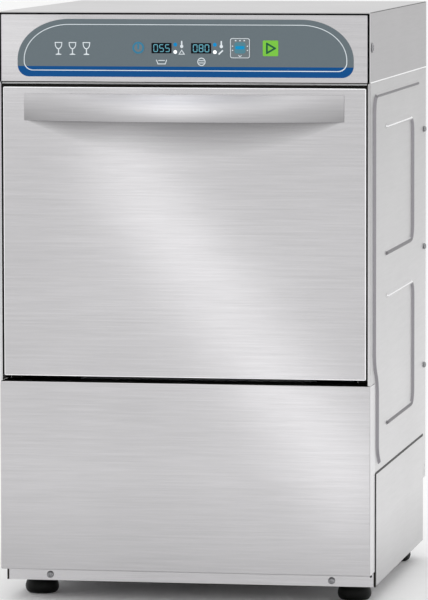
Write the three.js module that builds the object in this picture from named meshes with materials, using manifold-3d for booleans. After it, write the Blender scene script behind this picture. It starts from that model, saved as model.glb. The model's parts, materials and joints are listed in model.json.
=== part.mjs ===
// Undercounter glass washer for 400 x 400 mm baskets: a folded-sheet cabinet on four levelling feet,
// a drop-down door, a wash tank with two pairs of spinning arms, and the pump and boiler below it.
// Millimetres, +Z up, the door faces -Y. The origin is the middle of the floor under the machine.
import * as THREE from 'three';
import { mergeVertices } from 'three/addons/utils/BufferGeometryUtils.js';
import Module from 'manifold-3d';

const wasm = await Module();
wasm.setup();

// ---------------------------------------------------------------- driving dimensions
const WIDTH = 450;
const BODY_DEPTH = 500;
const HEIGHT = 712;
const HANDLE_REACH = 28;
const FOOT_HEIGHT = 22;
const SHEET = 1;
const FRAME_SHEET = 1.5;
const TANK_SHEET = 1.2;
const GAP = 0.3;

const HALF = WIDTH / 2;
const FRONT = HANDLE_REACH - (BODY_DEPTH + HANDLE_REACH) / 2;
const BACK = FRONT + BODY_DEPTH;
const BASE_FRONT = FRONT + 40;
const BASE_BACK = FRONT + 478;
const PLINTH_TOP = FOOT_HEIGHT + 18;
const SIDE_SEAM = FOOT_HEIGHT + 136;
const BACK_STEP = FOOT_HEIGHT + 80;
const PANEL_TOP = FOOT_HEIGHT + 246;
const DOOR_BOTTOM = FOOT_HEIGHT + 253;
const DOOR_TOP = FOOT_HEIGHT + 600;
const FASCIA_BOTTOM = FOOT_HEIGHT + 606;

const SIDE_FACE = HALF - 0.4;
const SIDE_INNER = SIDE_FACE - SHEET;
const HEM = 3;
const DOOR_HALF = 219.5;
const HINGE = { y: FRONT + 14, z: DOOR_BOTTOM + 14 };

const SPRING = { x: 216.3, y: HINGE.y + 38, pin: 38 };

const TANK = { half: 203.5, front: -197.2, back: 207, floor: 285, ceiling: 614, sill: 302, lintel: 606 };
const TANK_FACE = TANK.front - TANK_SHEET;
const SUMP = { half: 150, floor: 215 };
const SPIN = { x: 0, y: (TANK.front + TANK.back) / 2 };
const DRAIN = { x: 115, y: 120 };
const HEATER_LEGS = [-60, -20];
const HEATER_HEIGHT = 240;
const SUCTION = { x: 40, y: 60 };

const FOOT_PLACES = {
  foot_front_left: [-193, FRONT + 90],
  foot_front_right: [193, FRONT + 90],
  foot_rear_left: [-193, FRONT + 442],
  foot_rear_right: [193, FRONT + 442],
};
const FRONT_SCREW = { x: 172.5, z: FOOT_HEIGHT + 7 };
const REAR_SCREW_Y = FRONT + 480;
const REAR_SCREW_HEIGHTS = { top: 550, middle: 400, bottom: 248 };

const OVERLAY = { x: 1.8, half: 203, bottom: 634.5, top: 703.3, shoulder: 655, flat: 140, corner: 14 };
const KEYS = {
  power_button: { x: -54.2, z: 669.3, size: 15, round: 7.4 },
  cycle_button: { x: 68.6, z: 669.3, size: 25, round: 4 },
  start_button: { x: 105.3, z: 669.3, size: 18.6, round: 1.5 },
};
const DISPLAYS = [-26.1, 21.7];
const DISPLAY = { width: 24.4, height: 12.4, z: 669 };
const DISPLAY_BLOCK_DEPTH = 13;

const PUMP = { y: 60, z: 85, volute: 58, motor: 48 };
const INLET = { x: 170, z: 75 };
const GLAND = { x: -150, z: 65 };
const DRAIN_OUT_Z = 60;

// ---------------------------------------------------------------- materials
function finish(colour, roughness, metalness) {
  return () => new THREE.MeshStandardMaterial({ color: colour, roughness, metalness });
}
const steel = finish(0xc6c5c7, 0.34, 1);
const coverSteel = finish(0xbdbbbc, 0.4, 1);
const tankSteel = finish(0xb9babd, 0.28, 1);
const screwSteel = finish(0x9b9a9c, 0.35, 1);
const blackPlastic = finish(0x121312, 0.5, 0);
const blackRubber = finish(0x0d0c0b, 0.7, 0);
const overlayFilm = finish(0x6d7780, 0.45, 0);
const keyBlue = finish(0x3f7fae, 0.4, 0);
const keyGreen = finish(0x7ddc6a, 0.4, 0);
const circuitGreen = finish(0x1f5b34, 0.6, 0);
const armPlastic = finish(0x3a3d42, 0.5, 0);
const motorPaint = finish(0x33363a, 0.55, 0.4);
const copperSteel = finish(0x8f8e90, 0.3, 1);

// ---------------------------------------------------------------- solids
function toSolid(geometry) {
  const bare = geometry.clone();
  bare.deleteAttribute('normal');
  bare.deleteAttribute('uv');
  const merged = mergeVertices(bare, 1e-4);
  const position = merged.attributes.position;
  const corner = [0, 1, 2].map(() => new THREE.Vector3());
  const triangles = [];
  let volume = 0;
  for (let start = 0; start < merged.index.count; start += 3) {
    const trio = [0, 1, 2].map((offset) => merged.index.getX(start + offset));
    if (new Set(trio).size < 3) continue;
    trio.forEach((vertex, place) => corner[place].fromBufferAttribute(position, vertex));
    volume += corner[0].dot(corner[1].cross(corner[2]));
    triangles.push(trio);
  }
  const facingOut = volume > 0 ? triangles : triangles.map(([a, b, c]) => [a, c, b]);
  return new wasm.Manifold(new wasm.Mesh({
    numProp: 3,
    vertProperties: new Float32Array(position.array),
    triVerts: new Uint32Array(facingOut.flat()),
  }));
}

function toGeometry(body) {
  const mesh = body.getMesh();
  const geometry = new THREE.BufferGeometry();
  geometry.setAttribute('position', new THREE.BufferAttribute(new Float32Array(mesh.vertProperties), 3));
  geometry.setIndex(new THREE.BufferAttribute(new Uint32Array(mesh.triVerts), 1));
  geometry.computeVertexNormals();
  return geometry;
}

function join(...bodies) {
  return bodies.reduce((whole, body) => whole.add(body));
}

function cut(body, ...tools) {
  return tools.reduce((rest, tool) => rest.subtract(tool), body);
}

// A box between two values on each axis, in either order.
function box(xs, ys, zs) {
  const spans = [xs, ys, zs].map(([a, b]) => [Math.min(a, b), Math.max(a, b)]);
  const sizes = spans.map(([low, high]) => high - low);
  const centres = spans.map(([low, high]) => (low + high) / 2);
  return toSolid(new THREE.BoxGeometry(...sizes).translate(...centres));
}

const TO_AXIS = {
  x: new THREE.Matrix4().set(0, 0, 1, 0, 1, 0, 0, 0, 0, 1, 0, 0, 0, 0, 0, 1),
  y: new THREE.Matrix4().set(1, 0, 0, 0, 0, 0, -1, 0, 0, 1, 0, 0, 0, 0, 0, 1),
  z: new THREE.Matrix4(),
};

// A flat outline carried along an axis. Its two coordinates are the other two axes in order:
// (y, z) along x, (x, z) along y, and (x, y) along z.
function prism(outline, axis, ends, divisions = 6) {
  const [low, high] = [Math.min(...ends), Math.max(...ends)];
  const ready = outline instanceof THREE.Shape;
  const shape = ready ? outline : new THREE.Shape(outline.map(([u, v]) => new THREE.Vector2(u, v)));
  const options = { depth: high - low, bevelEnabled: false, curveSegments: divisions };
  const geometry = new THREE.ExtrudeGeometry(shape, options);
  geometry.translate(0, 0, axis === 'y' ? -high : low);
  return toSolid(geometry.applyMatrix4(TO_AXIS[axis]));
}

// A round bar or cutter. A full arc is divided into twice the count it is given.
function disc(radius, axis, centre, ends, sides = 20) {
  const shape = new THREE.Shape().absarc(centre[0], centre[1], radius, 0, Math.PI * 2);
  return prism(shape, axis, ends, sides / 2);
}

function roundedRectangle(x, z, width, height, radius) {
  const [left, right, low, high] = [x - width / 2, x + width / 2, z - height / 2, z + height / 2];
  const shape = new THREE.Shape();
  shape.absarc(right - radius, high - radius, radius, 0, Math.PI / 2);
  shape.absarc(left + radius, high - radius, radius, Math.PI / 2, Math.PI);
  shape.absarc(left + radius, low + radius, radius, Math.PI, Math.PI * 1.5);
  shape.absarc(right - radius, low + radius, radius, Math.PI * 1.5, Math.PI * 2);
  return shape;
}

// A profile of [radius, height] points turned about Z.
function turned(profile, sides = 16) {
  const points = profile.map(([radius, height]) => new THREE.Vector2(radius, height));
  return toSolid(new THREE.LatheGeometry(points, sides).rotateX(Math.PI / 2));
}

// The corners of a line with each inner corner replaced by a short arc of steps.
function softened(corners, reach, steps = 3) {
  const line = [corners[0]];
  for (let place = 1; place < corners.length - 1; place += 1) {
    const [before, corner, after] = [corners[place - 1], corners[place], corners[place + 1]];
    const from = corner.clone().add(before.clone().sub(corner).setLength(reach));
    const to = corner.clone().add(after.clone().sub(corner).setLength(reach));
    for (let step = 0; step <= steps; step += 1) {
      const t = step / steps;
      const first = from.clone().lerp(corner, t);
      line.push(first.lerp(corner.clone().lerp(to, t), t));
    }
  }
  line.push(corners.at(-1));
  return line;
}

// A bent tube's centre line: straight runs with a round bend at each corner.
class Route extends THREE.Curve {
  constructor(corners, bend) {
    super();
    this.line = softened(corners.map((corner) => new THREE.Vector3(...corner)), bend);
    this.steps = this.line.length - 1;
  }

  getPoint(t) {
    const place = Math.min(Math.round(t * this.steps), this.steps);
    return this.line[place].clone();
  }

  getPointAt(t) {
    return this.getPoint(t);
  }

  getTangentAt(t) {
    const place = Math.min(Math.round(t * this.steps), this.steps);
    const before = this.line[Math.max(place - 1, 0)];
    const after = this.line[Math.min(place + 1, this.steps)];
    return after.clone().sub(before).normalize();
  }
}

function rod(corners, radius, bend, sides = 8) {
  const route = new Route(corners, bend);
  const section = new THREE.Shape().absarc(0, 0, radius, 0, Math.PI * 2);
  const options = { extrudePath: route, steps: route.steps, curveSegments: sides / 2, bevelEnabled: false };
  return toSolid(new THREE.ExtrudeGeometry(section, options));
}

// A round-ended band along a line of [u, v] corners, as a flat shape.
function band(corners, reach, width) {
  const line = softened(corners.map(([u, v]) => new THREE.Vector2(u, v)), reach);
  const last = line.length - 1;
  const edge = (place, turn, size = width / 2) => {
    const along = line[Math.min(place + 1, last)].clone().sub(line[Math.max(place - 1, 0)]);
    return line[place].clone().add(along.setLength(size).rotateAround(new THREE.Vector2(), turn));
  };
  const quarter = Math.PI / 2;
  const points = line.map((_, place) => edge(place, -quarter));
  for (const turn of [-quarter / 2, 0, quarter / 2]) points.push(edge(last, turn));
  for (let place = last; place >= 0; place -= 1) points.push(edge(place, quarter));
  for (const turn of [1.5, 2, 2.5]) points.push(edge(0, quarter * turn));
  return new THREE.Shape(points);
}

// ---------------------------------------------------------------- the assembly
const machine = new THREE.Group();

function part(name, body, material, place = [0, 0, 0], owner = machine) {
  const mesh = new THREE.Mesh(toGeometry(body), material());
  mesh.name = name;
  mesh.position.set(...place);
  owner.add(mesh);
  return mesh;
}

const SIDES = { left: -1, right: 1 };

// A hollow box of sheet with some of its faces left open.
function tray(xs, ys, zs, thickness, open) {
  const inset = (span, axis) => {
    const low = open.includes(`-${axis}`) ? span[0] - thickness : span[0] + thickness;
    const high = open.includes(`+${axis}`) ? span[1] + thickness : span[1] - thickness;
    return [low, high];
  };
  return cut(box(xs, ys, zs), box(inset(xs, 'x'), inset(ys, 'y'), inset(zs, 'z')));
}

// ---------------------------------------------------------------- cabinet
function baseFrame() {
  const edge = SIDE_INNER - GAP;
  const postTop = TANK.floor - TANK_SHEET - 0.4;
  const floorTop = FOOT_HEIGHT + FRAME_SHEET;
  let frame = join(
    box([-edge, edge], [BASE_FRONT, BASE_BACK], [FOOT_HEIGHT, floorTop]),
    box([-edge, edge], [BASE_FRONT, BASE_FRONT + FRAME_SHEET], [FOOT_HEIGHT, PLINTH_TOP - GAP]),
    box([-edge, edge], [BASE_BACK - FRAME_SHEET, BASE_BACK], [FOOT_HEIGHT, BACK_STEP - GAP]),
  );
  for (const side of Object.values(SIDES)) {
    const xs = (inner, outer) => [side * inner, side * outer];
    frame = join(
      frame,
      box(xs(edge - FRAME_SHEET, edge), [BASE_FRONT, BASE_BACK], [FOOT_HEIGHT, 45]),
      box(xs(204, 220), [BASE_FRONT, BASE_FRONT + FRAME_SHEET], [FOOT_HEIGHT, postTop]),
      box(xs(220 - FRAME_SHEET, 220), [BASE_FRONT, BASE_FRONT + 7], [FOOT_HEIGHT, postTop]),
      box(xs(200, 220), [BASE_BACK - FRAME_SHEET, BASE_BACK], [FOOT_HEIGHT, postTop]),
      box(xs(220 - FRAME_SHEET, 220), [BASE_BACK - 20, BASE_BACK], [FOOT_HEIGHT, postTop]),
      box(xs(185, 209), [BASE_FRONT, BASE_BACK], [postTop - FRAME_SHEET, postTop]),
      disc(2.5, 'x', [SPRING.y, SPRING.pin], xs(SPRING.x - 4, edge - FRAME_SHEET / 2), 8),
    );
    const screwHole = disc(2.3, 'y', [side * FRONT_SCREW.x, FRONT_SCREW.z], [BASE_FRONT - 1, BASE_FRONT + 3], 8);
    frame = cut(frame, screwHole);
  }
  for (const [x, y] of Object.values(FOOT_PLACES)) {
    frame = cut(frame, disc(5.6, 'z', [x, y], [FOOT_HEIGHT - 1, floorTop + 1], 12));
  }
  const wall = [BASE_BACK - 3, BASE_BACK + 1];
  return cut(
    frame,
    disc(14.6, 'y', [DRAIN.x, DRAIN_OUT_Z], wall, 12),
    disc(13.6, 'y', [INLET.x, INLET.z], wall, 12),
    disc(8.6, 'y', [GLAND.x, GLAND.z], wall, 12),
  );
}

// Stiffening beads pressed outwards in each side panel, as [y, z] lines.
const BEADS = [
  [[415, 589], [30, 589], [30, 256], [57, 256], [57, 147], [81, 147]],
  [[137, 549], [368, 549], [368, 395], [137, 395]],
  [[144, 343], [371, 343], [371, 188], [144, 188]],
];
const BEAD = { width: 7, height: 2.2, bend: 15 };

function sidePanel(side) {
  const outline = [
    [FRONT, PANEL_TOP + GAP], [BASE_FRONT, PANEL_TOP + GAP], [BASE_FRONT, SIDE_SEAM + GAP],
    [BASE_BACK + GAP, SIDE_SEAM + GAP], [BASE_BACK + GAP, BACK_STEP], [BACK, BACK_STEP],
    [BACK, FASCIA_BOTTOM - GAP], [FRONT, FASCIA_BOTTOM - GAP],
  ];
  const across = (inner, outer) => [side * inner, side * outer];
  let panel = join(
    prism(outline, 'x', across(SIDE_INNER, SIDE_FACE)),
    box(across(SIDE_FACE - HEM, SIDE_FACE), [FRONT, FRONT + 5], [PANEL_TOP + GAP, FASCIA_BOTTOM - GAP]),
  );
  const beadLines = BEADS.map((line) => line.map(([y, z]) => [FRONT + y, FOOT_HEIGHT + z]));
  const crown = SIDE_FACE + BEAD.height;
  for (const line of beadLines) {
    const rib = prism(band(line, BEAD.bend, BEAD.width), 'x', across(SIDE_FACE - SHEET / 2, crown));
    const hollow = prism(band(line, BEAD.bend, BEAD.width - 2 * SHEET), 'x', across(SIDE_INNER - 1, crown - SHEET));
    panel = cut(join(panel, rib), hollow);
  }
  for (const z of Object.values(REAR_SCREW_HEIGHTS)) {
    panel = cut(panel, disc(2.3, 'x', [REAR_SCREW_Y, z], across(SIDE_INNER - 1, SIDE_FACE + 1), 8));
  }
  return panel;
}

function sideCover(side) {
  const notch = [BASE_BACK - 14, BASE_BACK - 6];
  return cut(
    box([side * SIDE_INNER, side * SIDE_FACE], [BASE_FRONT, BASE_BACK], [FOOT_HEIGHT, SIDE_SEAM]),
    box([side * (SIDE_INNER - 1), side * (SIDE_FACE + 1)], notch, [SIDE_SEAM - 2, SIDE_SEAM + 1]),
  );
}

function rearPanel() {
  const edge = SIDE_INNER - GAP;
  const heights = [BACK_STEP, FASCIA_BOTTOM - GAP];
  let panel = tray([-edge, edge], [REAR_SCREW_Y - 8, BACK], heights, SHEET, ['-y', '+z']);
  const ledgeClearance = box(
    [-edge - 1, edge + 1], [REAR_SCREW_Y - 9, BASE_BACK + GAP], [BACK_STEP - 1, BACK_STEP + 2],
  );
  panel = cut(panel, ledgeClearance);
  for (const side of Object.values(SIDES)) {
    for (const z of Object.values(REAR_SCREW_HEIGHTS)) {
      panel = cut(panel, disc(2.3, 'x', [REAR_SCREW_Y, z], [side * (edge - 2), side * (edge + 1)], 8));
    }
  }
  for (let row = 0; row < 6; row += 1) {
    const z = 500 + row * 14;
    panel = cut(panel, box([-90, 90], [BACK - 3, BACK + 1], [z, z + 5]));
  }
  return panel;
}

function topCover() {
  const wall = 1.2;
  const hem = 2.6;
  return cut(
    box([-HALF, HALF], [FRONT, BACK], [FASCIA_BOTTOM, HEIGHT]),
    box([-HALF + wall, HALF - wall], [FRONT + 6, BACK - wall], [FASCIA_BOTTOM - 1, HEIGHT - wall]),
    box([-HALF + hem, HALF - hem], [FRONT - 1, FRONT + 7], [FASCIA_BOTTOM - 1, HEIGHT - hem]),
  );
}

function lowerFrontPanel() {
  return tray([-HALF, HALF], [FRONT, BASE_FRONT - GAP], [PLINTH_TOP, PANEL_TOP], SHEET, ['+y']);
}

// A rubber-footed levelling foot: a small pad, a wide dome above it and a threaded stem.
const FOOT_PROFILE = [
  [0, 0], [17, 0], [17.5, 2.5], [20.5, 3.5], [20.2, 8], [18.4, 13.5], [14.5, 18.5], [11, 21], [5, 21],
  [5, 52], [0, 52],
];

// A pan-head screw standing on +Z, with a cross recess.
function screw(headRadius, headHeight, shank) {
  const head = turned([
    [0, -shank], [1.9, -shank], [1.9, 0], [headRadius, 0], [headRadius, headHeight * 0.45],
    [headRadius * 0.72, headHeight], [0, headHeight],
  ], 10);
  const arm = headRadius * 0.55;
  const slot = 0.45;
  const recess = [headHeight * 0.45, headHeight + 1];
  return cut(head, box([-arm, arm], [-slot, slot], recess), box([-slot, slot], [-arm, arm], recess));
}

function buildCabinet() {
  part('base_frame', baseFrame(), steel);
  for (const [name, side] of Object.entries(SIDES)) {
    part(`side_panel_${name}`, sidePanel(side), steel);
    part(`side_cover_${name}`, sideCover(side), steel);
    const front = part(`front_screw_${name}`, screw(4.2, 2.6, 7), screwSteel);
    front.position.set(side * FRONT_SCREW.x, BASE_FRONT - GAP, FRONT_SCREW.z);
    front.rotation.x = Math.PI / 2;
    for (const [level, z] of Object.entries(REAR_SCREW_HEIGHTS)) {
      const rear = part(`rear_screw_${level}_${name}`, screw(3.8, 2, 6), screwSteel);
      rear.position.set(side * (SIDE_FACE + GAP), REAR_SCREW_Y, z);
      rear.rotation.y = side * Math.PI / 2;
    }
  }
  part('rear_panel', rearPanel(), steel);
  part('top_cover', topCover(), coverSteel);
  part('lower_front_panel', lowerFrontPanel(), steel);
  for (const [name, [x, y]] of Object.entries(FOOT_PLACES)) {
    part(name, turned(FOOT_PROFILE, 16), blackPlastic, [x, y, 0]);
  }
}

// ---------------------------------------------------------------- control panel
function overlayShape() {
  const { x, half, bottom, top, shoulder, flat, corner } = OVERLAY;
  const shape = new THREE.Shape();
  const [wide, tall] = [half - flat, top - shoulder];
  shape.absellipse(x + flat, shoulder, wide, tall, 0, Math.PI / 2);
  shape.absellipse(x - flat, shoulder, wide, tall, Math.PI / 2, Math.PI);
  shape.absarc(x + corner - half, bottom + corner, corner, Math.PI, Math.PI * 1.5);
  shape.absarc(x + half - corner, bottom + corner, corner, Math.PI * 1.5, Math.PI * 2);
  return shape;
}

function keyShape({ x, z, size, round }, margin) {
  return roundedRectangle(x, z, size + 2 * margin, size + 2 * margin, round + margin);
}

function buildControls() {
  const film = [FRONT - 0.8, FRONT - 0.2];
  const edge = HALF - 2.6 - 0.9;
  const fasciaTop = HEIGHT - 2.6 - 0.9;
  let fascia = tray([-edge, edge], [FRONT, FRONT + 20], [FASCIA_BOTTOM, fasciaTop], SHEET, ['+y']);
  let overlay = prism(overlayShape(), 'y', film, 5);
  const boardFront = FRONT + DISPLAY_BLOCK_DEPTH;
  const boardTall = [642, 698];
  let board = box([-75, 125], [boardFront, boardFront + 1.6], boardTall);
  for (const [name, key] of Object.entries(KEYS)) {
    overlay = cut(overlay, prism(keyShape(key, GAP), 'y', [FRONT - 2, FRONT + 1], 4));
    fascia = cut(fascia, prism(keyShape(key, 1), 'y', [FRONT - 1, FRONT + 2], 4));
    board = join(board, box([key.x - 4, key.x + 4], [FRONT + 8.4, boardFront + 1], [key.z - 4, key.z + 4]));
    const local = { ...key, x: 0, z: 0 };
    const cap = join(
      prism(keyShape(local, 0), 'y', [-1.6, 4], 4),
      disc(3, 'y', [0, 0], [3, 7.6], 10),
    );
    const colour = name === 'start_button' ? keyGreen : keyBlue;
    part(name, cap, colour, [key.x, FRONT, key.z]);
  }
  for (const x of DISPLAYS) {
    const halves = (extra) => [[x - DISPLAY.width / 2 - extra, x + DISPLAY.width / 2 + extra],
      [DISPLAY.z - DISPLAY.height / 2 - extra, DISPLAY.z + DISPLAY.height / 2 + extra]];
    const [blockX, blockZ] = halves(0);
    const [windowX, windowZ] = halves(0.8);
    board = join(board, box(blockX, [FRONT + 0.2, boardFront + 1], blockZ));
    fascia = cut(fascia, box(windowX, [FRONT - 1, FRONT + 2], windowZ));
  }
  part('control_panel', fascia, steel);
  part('control_overlay', overlay, overlayFilm);
  part('control_board', board, circuitGreen);
}

// ---------------------------------------------------------------- door
const HINGE_EAR = [211.8, 214.3];
const DOOR_ARM = [215.3, 217.3];
const PIN_RADIUS = 4;
const PIN_BORE = PIN_RADIUS + 0.25;

// A bowed lip: flat on the door at its ends and its top edge.
// It stands out most at the middle of its lower edge.
function handle() {
  const lip = { half: 193.5, top: 614, bottom: 582, thickness: 1.5 };
  const stations = 20;
  const rows = 4;
  const reach = HANDLE_REACH - lip.thickness - 0.2;
  const positions = [];
  const indices = [];
  for (let station = 0; station <= stations; station += 1) {
    const along = (2 * station) / stations - 1;
    const bow = reach * (1 - along * along);
    for (const back of [0, lip.thickness]) {
      for (let row = 0; row <= rows; row += 1) {
        const level = back ? rows - row : row;
        const drop = level / rows;
        const out = bow * Math.sin((drop * Math.PI) / 2);
        const y = FRONT - 0.2 - lip.thickness - out + back;
        positions.push(along * lip.half, y, lip.top - drop * (lip.top - lip.bottom));
      }
    }
  }
  const ring = 2 * (rows + 1);
  for (let station = 0; station < stations; station += 1) {
    for (let place = 0; place < ring; place += 1) {
      const next = (place + 1) % ring;
      const [a, b] = [station * ring + place, station * ring + next];
      indices.push(a, b, b + ring, a, b + ring, a + ring);
    }
  }
  for (const [first, flip] of [[0, false], [stations * ring, true]]) {
    for (let row = 0; row < rows; row += 1) {
      const quad = [first + row, first + row + 1, first + ring - 2 - row, first + ring - 1 - row];
      const [a, b, c, d] = flip ? quad : [...quad].reverse();
      indices.push(a, b, c, a, c, d);
    }
  }
  const geometry = new THREE.BufferGeometry();
  geometry.setAttribute('position', new THREE.BufferAttribute(new Float32Array(positions), 3));
  geometry.setIndex(indices);
  return toSolid(geometry);
}

function doorSkin() {
  let skin = tray([-DOOR_HALF, DOOR_HALF], [FRONT, FRONT + 22], [DOOR_BOTTOM, DOOR_TOP], SHEET, ['+y']);
  for (const side of Object.values(SIDES)) {
    const clear = [side * (HINGE_EAR[0] - 1), side * (HINGE_EAR[1] + 0.8)];
    skin = cut(skin, box(clear, [HINGE.y - 9, FRONT + 23], [DOOR_BOTTOM - 1, DOOR_BOTTOM + 2]));
  }
  return skin;
}

function doorLiner() {
  const rim = [FRONT + 22.3, FRONT + 23.3];
  const face = FRONT + 34.8;
  const half = 210.4;
  const raised = [HINGE.z + 1, 616];
  let liner = join(
    box([-DOOR_HALF, DOOR_HALF], rim, [DOOR_BOTTOM + 1, DOOR_TOP]),
    box([-half, half], [rim[0], face], raised),
  );
  liner = cut(liner, box([1 - half, half - 1], [rim[0] - 1, face - 1], [raised[0] + 1, raised[1] - 1]));
  for (const side of Object.values(SIDES)) {
    const clear = [side * (half + 0.4), side * (DOOR_ARM[1] + 0.9)];
    liner = cut(liner, box(clear, [rim[0] - 1, face + 1], [DOOR_BOTTOM, HINGE.z + 11]));
  }
  return liner;
}

function doorEdgeSeal() {
  const outer = DOOR_HALF + 1.7;
  const ys = [FRONT + 1, FRONT + 17];
  const ring = cut(
    box([-outer, outer], ys, [DOOR_BOTTOM + 1, DOOR_TOP + 2.2]),
    box([-DOOR_HALF - 0.1, DOOR_HALF + 0.1], [ys[0] - 1, ys[1] + 1], [DOOR_BOTTOM, DOOR_TOP + 0.1]),
  );
  return ring;
}

// The hinge arm stands inside the door's edge. Its tail reaches back through the tank face to the spring.
function doorArm(side) {
  const outline = [
    [FRONT + 1.3, DOOR_BOTTOM + 2], [HINGE.y + 6, DOOR_BOTTOM + 2], [HINGE.y + 8, HINGE.z - 4],
    [HINGE.y + 42, HINGE.z - 4], [HINGE.y + 42, HINGE.z + 4], [HINGE.y + 8, HINGE.z + 4],
    [HINGE.y + 7.5, HINGE.z + 55], [FRONT + 1.3, HINGE.z + 55],
  ];
  const across = [side * DOOR_ARM[0], side * DOOR_ARM[1]];
  const through = [side * (DOOR_ARM[0] - 1), side * (DOOR_ARM[1] + 1)];
  return cut(
    prism(outline, 'x', across),
    disc(PIN_BORE, 'x', [HINGE.y, HINGE.z], through, 14),
    disc(1.6, 'x', [SPRING.y, HINGE.z], through, 8),
  );
}

function hingeBracket(side) {
  const ear = [
    [HINGE.y - 6, HINGE.z - 3], [HINGE.y - 3, HINGE.z - 6], [TANK_FACE - GAP, HINGE.z - 6],
    [TANK_FACE - GAP, HINGE.z + 6], [HINGE.y - 3, HINGE.z + 6], [HINGE.y - 6, HINGE.z + 3],
  ];
  const across = HINGE_EAR.map((x) => side * x);
  const through = [across[0] - side, across[1] + side];
  return cut(
    join(
      prism(ear, 'x', across),
      box([side * 190, across[1]], [TANK_FACE - GAP - 2, TANK_FACE - GAP], [HINGE.z - 13, HINGE.z + 1]),
    ),
    disc(PIN_BORE, 'x', [HINGE.y, HINGE.z], through, 14),
  );
}

function hingePin(side) {
  return disc(PIN_RADIUS, 'x', [HINGE.y, HINGE.z], [side * 209, side * 218.1], 14);
}

// A counterweight spring pulls the arm's tail down towards the base frame's pin.
function doorSpring() {
  const low = SPRING.pin + 3;
  const high = HINGE.z - 5;
  return turned([
    [0, low], [1.2, low], [3.7, low + 8], [3.7, high - 16], [1.2, high - 8], [1.2, high], [0, high],
  ], 10);
}

function buildDoor() {
  part('door_skin', doorSkin(), steel);
  part('door_handle', handle(), steel);
  part('door_liner', doorLiner(), tankSteel);
  part('door_edge_seal', doorEdgeSeal(), blackRubber);
  for (const [name, side] of Object.entries(SIDES)) {
    part(`door_arm_${name}`, doorArm(side), screwSteel);
    part(`hinge_bracket_${name}`, hingeBracket(side), screwSteel);
    part(`hinge_pin_${name}`, hingePin(side), screwSteel);
    const spring = part(`door_spring_${name}`, doorSpring(), screwSteel);
    spring.position.set(side * SPRING.x, SPRING.y, 0);
  }
}

// ---------------------------------------------------------------- wash tank
function washTank() {
  const { half, front, back, floor, ceiling, sill, lintel } = TANK;
  const face = [TANK_FACE, front];
  const sumpY = [SPIN.y - SUMP.half, SPIN.y + SUMP.half];
  const sumpWall = SUMP.half + TANK_SHEET;
  const flangeHalf = 220.2;
  const railTop = FASCIA_BOTTOM - 0.6;
  let tank = join(
    box(
      [-half - TANK_SHEET, half + TANK_SHEET],
      [TANK_FACE, back + TANK_SHEET],
      [floor - TANK_SHEET, ceiling + TANK_SHEET],
    ),
    box(
      [-sumpWall, sumpWall],
      [sumpY[0] - TANK_SHEET, sumpY[1] + TANK_SHEET],
      [SUMP.floor - TANK_SHEET, floor],
    ),
    box([-flangeHalf, flangeHalf], face, [272, railTop]),
    box([-flangeHalf, flangeHalf], [FRONT + 0.6, front], [railTop - TANK_SHEET, railTop]),
    box([-flangeHalf, flangeHalf], [FRONT + 0.6, FRONT + 2.6], [railTop - 2.6, railTop]),
  );
  tank = cut(
    tank,
    box([-half, half], [front, back], [floor, ceiling]),
    box([-half, half], [TANK_FACE - 1, front + 1], [sill, lintel]),
    box([-SUMP.half, SUMP.half], sumpY, [SUMP.floor, floor + 1]),
    disc(13, 'z', [SPIN.x, SPIN.y], [ceiling - 1, ceiling + 3], 16),
    disc(13, 'z', [SPIN.x, SPIN.y], [SUMP.floor - 3, SUMP.floor + 1], 16),
    disc(14.5, 'z', [DRAIN.x, DRAIN.y], [SUMP.floor - 3, SUMP.floor + 1], 14),
    disc(18.5, 'z', [SUCTION.x, SUCTION.y], [SUMP.floor - 3, SUMP.floor + 1], 14),
  );
  for (const y of HEATER_LEGS) {
    tank = cut(tank, disc(5, 'x', [y, HEATER_HEIGHT], [-sumpWall - 1, 2 - SUMP.half], 10));
  }
  for (const side of Object.values(SIDES)) {
    const slot = [side * (DOOR_ARM[0] - 0.8), side * (DOOR_ARM[1] + 1)];
    tank = cut(tank, box(slot, [TANK_FACE - 1, front + 1], [HINGE.z - 8, HINGE.z + 40]));
  }
  return tank;
}

function doorGasket() {
  const ys = [FRONT + 35.1, TANK_FACE - 0.2];
  return cut(
    box([-210, 210], ys, [TANK.sill - 10, TANK.lintel + 8.5]),
    box([-204.8, 204.8], [ys[0] - 1, ys[1] + 1], [TANK.sill - 1, TANK.lintel + 1]),
  );
}

function rackRail(side) {
  const outer = TANK.half - GAP;
  const ys = [TANK.front + 6, TANK.back - 6];
  return join(
    box([side * (outer - 15), side * outer], ys, [366, 367.2]),
    box([side * (outer - 1.2), side * outer], ys, [366, 376]),
  );
}

// A spinning arm about Z: a hub with a bore and two tapered blades carrying small nozzles.
function sprayArm({ hub, bore, blade, width, thick, length, nozzles }) {
  const half = thick / 2;
  const outline = [
    [hub - 4, width / 2], [length, width / 3], [length + 3, 0], [length, -width / 3], [hub - 4, -width / 2],
  ];
  const mirrored = outline.map(([x, y]) => [-x, -y]);
  let arm = join(
    disc(hub, 'z', [0, 0], [-blade, blade], 18),
    prism(outline, 'z', [-half, half]),
    prism(mirrored, 'z', [-half, half]),
  );
  for (let place = 1; place <= nozzles; place += 1) {
    for (const side of [-1, 1]) {
      const x = side * (hub + ((length - hub) * (place - 0.3)) / nozzles);
      arm = join(arm, disc(2.6, 'z', [x, 0], [0, half + 2.2], 6));
    }
  }
  return cut(arm, disc(bore, 'z', [0, 0], [-blade - 1, blade + 1], 18));
}

const WASH_ARM = { hub: 21, bore: 12.5, blade: 9, width: 26, thick: 10, length: 176, nozzles: 5 };
const RINSE_ARM = { hub: 17, bore: 8.5, blade: 5, width: 13, thick: 7, length: 172, nozzles: 6 };
const ARM_LEVELS = { lower: { wash: 325, rinse: 342 }, upper: { wash: 592, rinse: 575.5 } };

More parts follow.
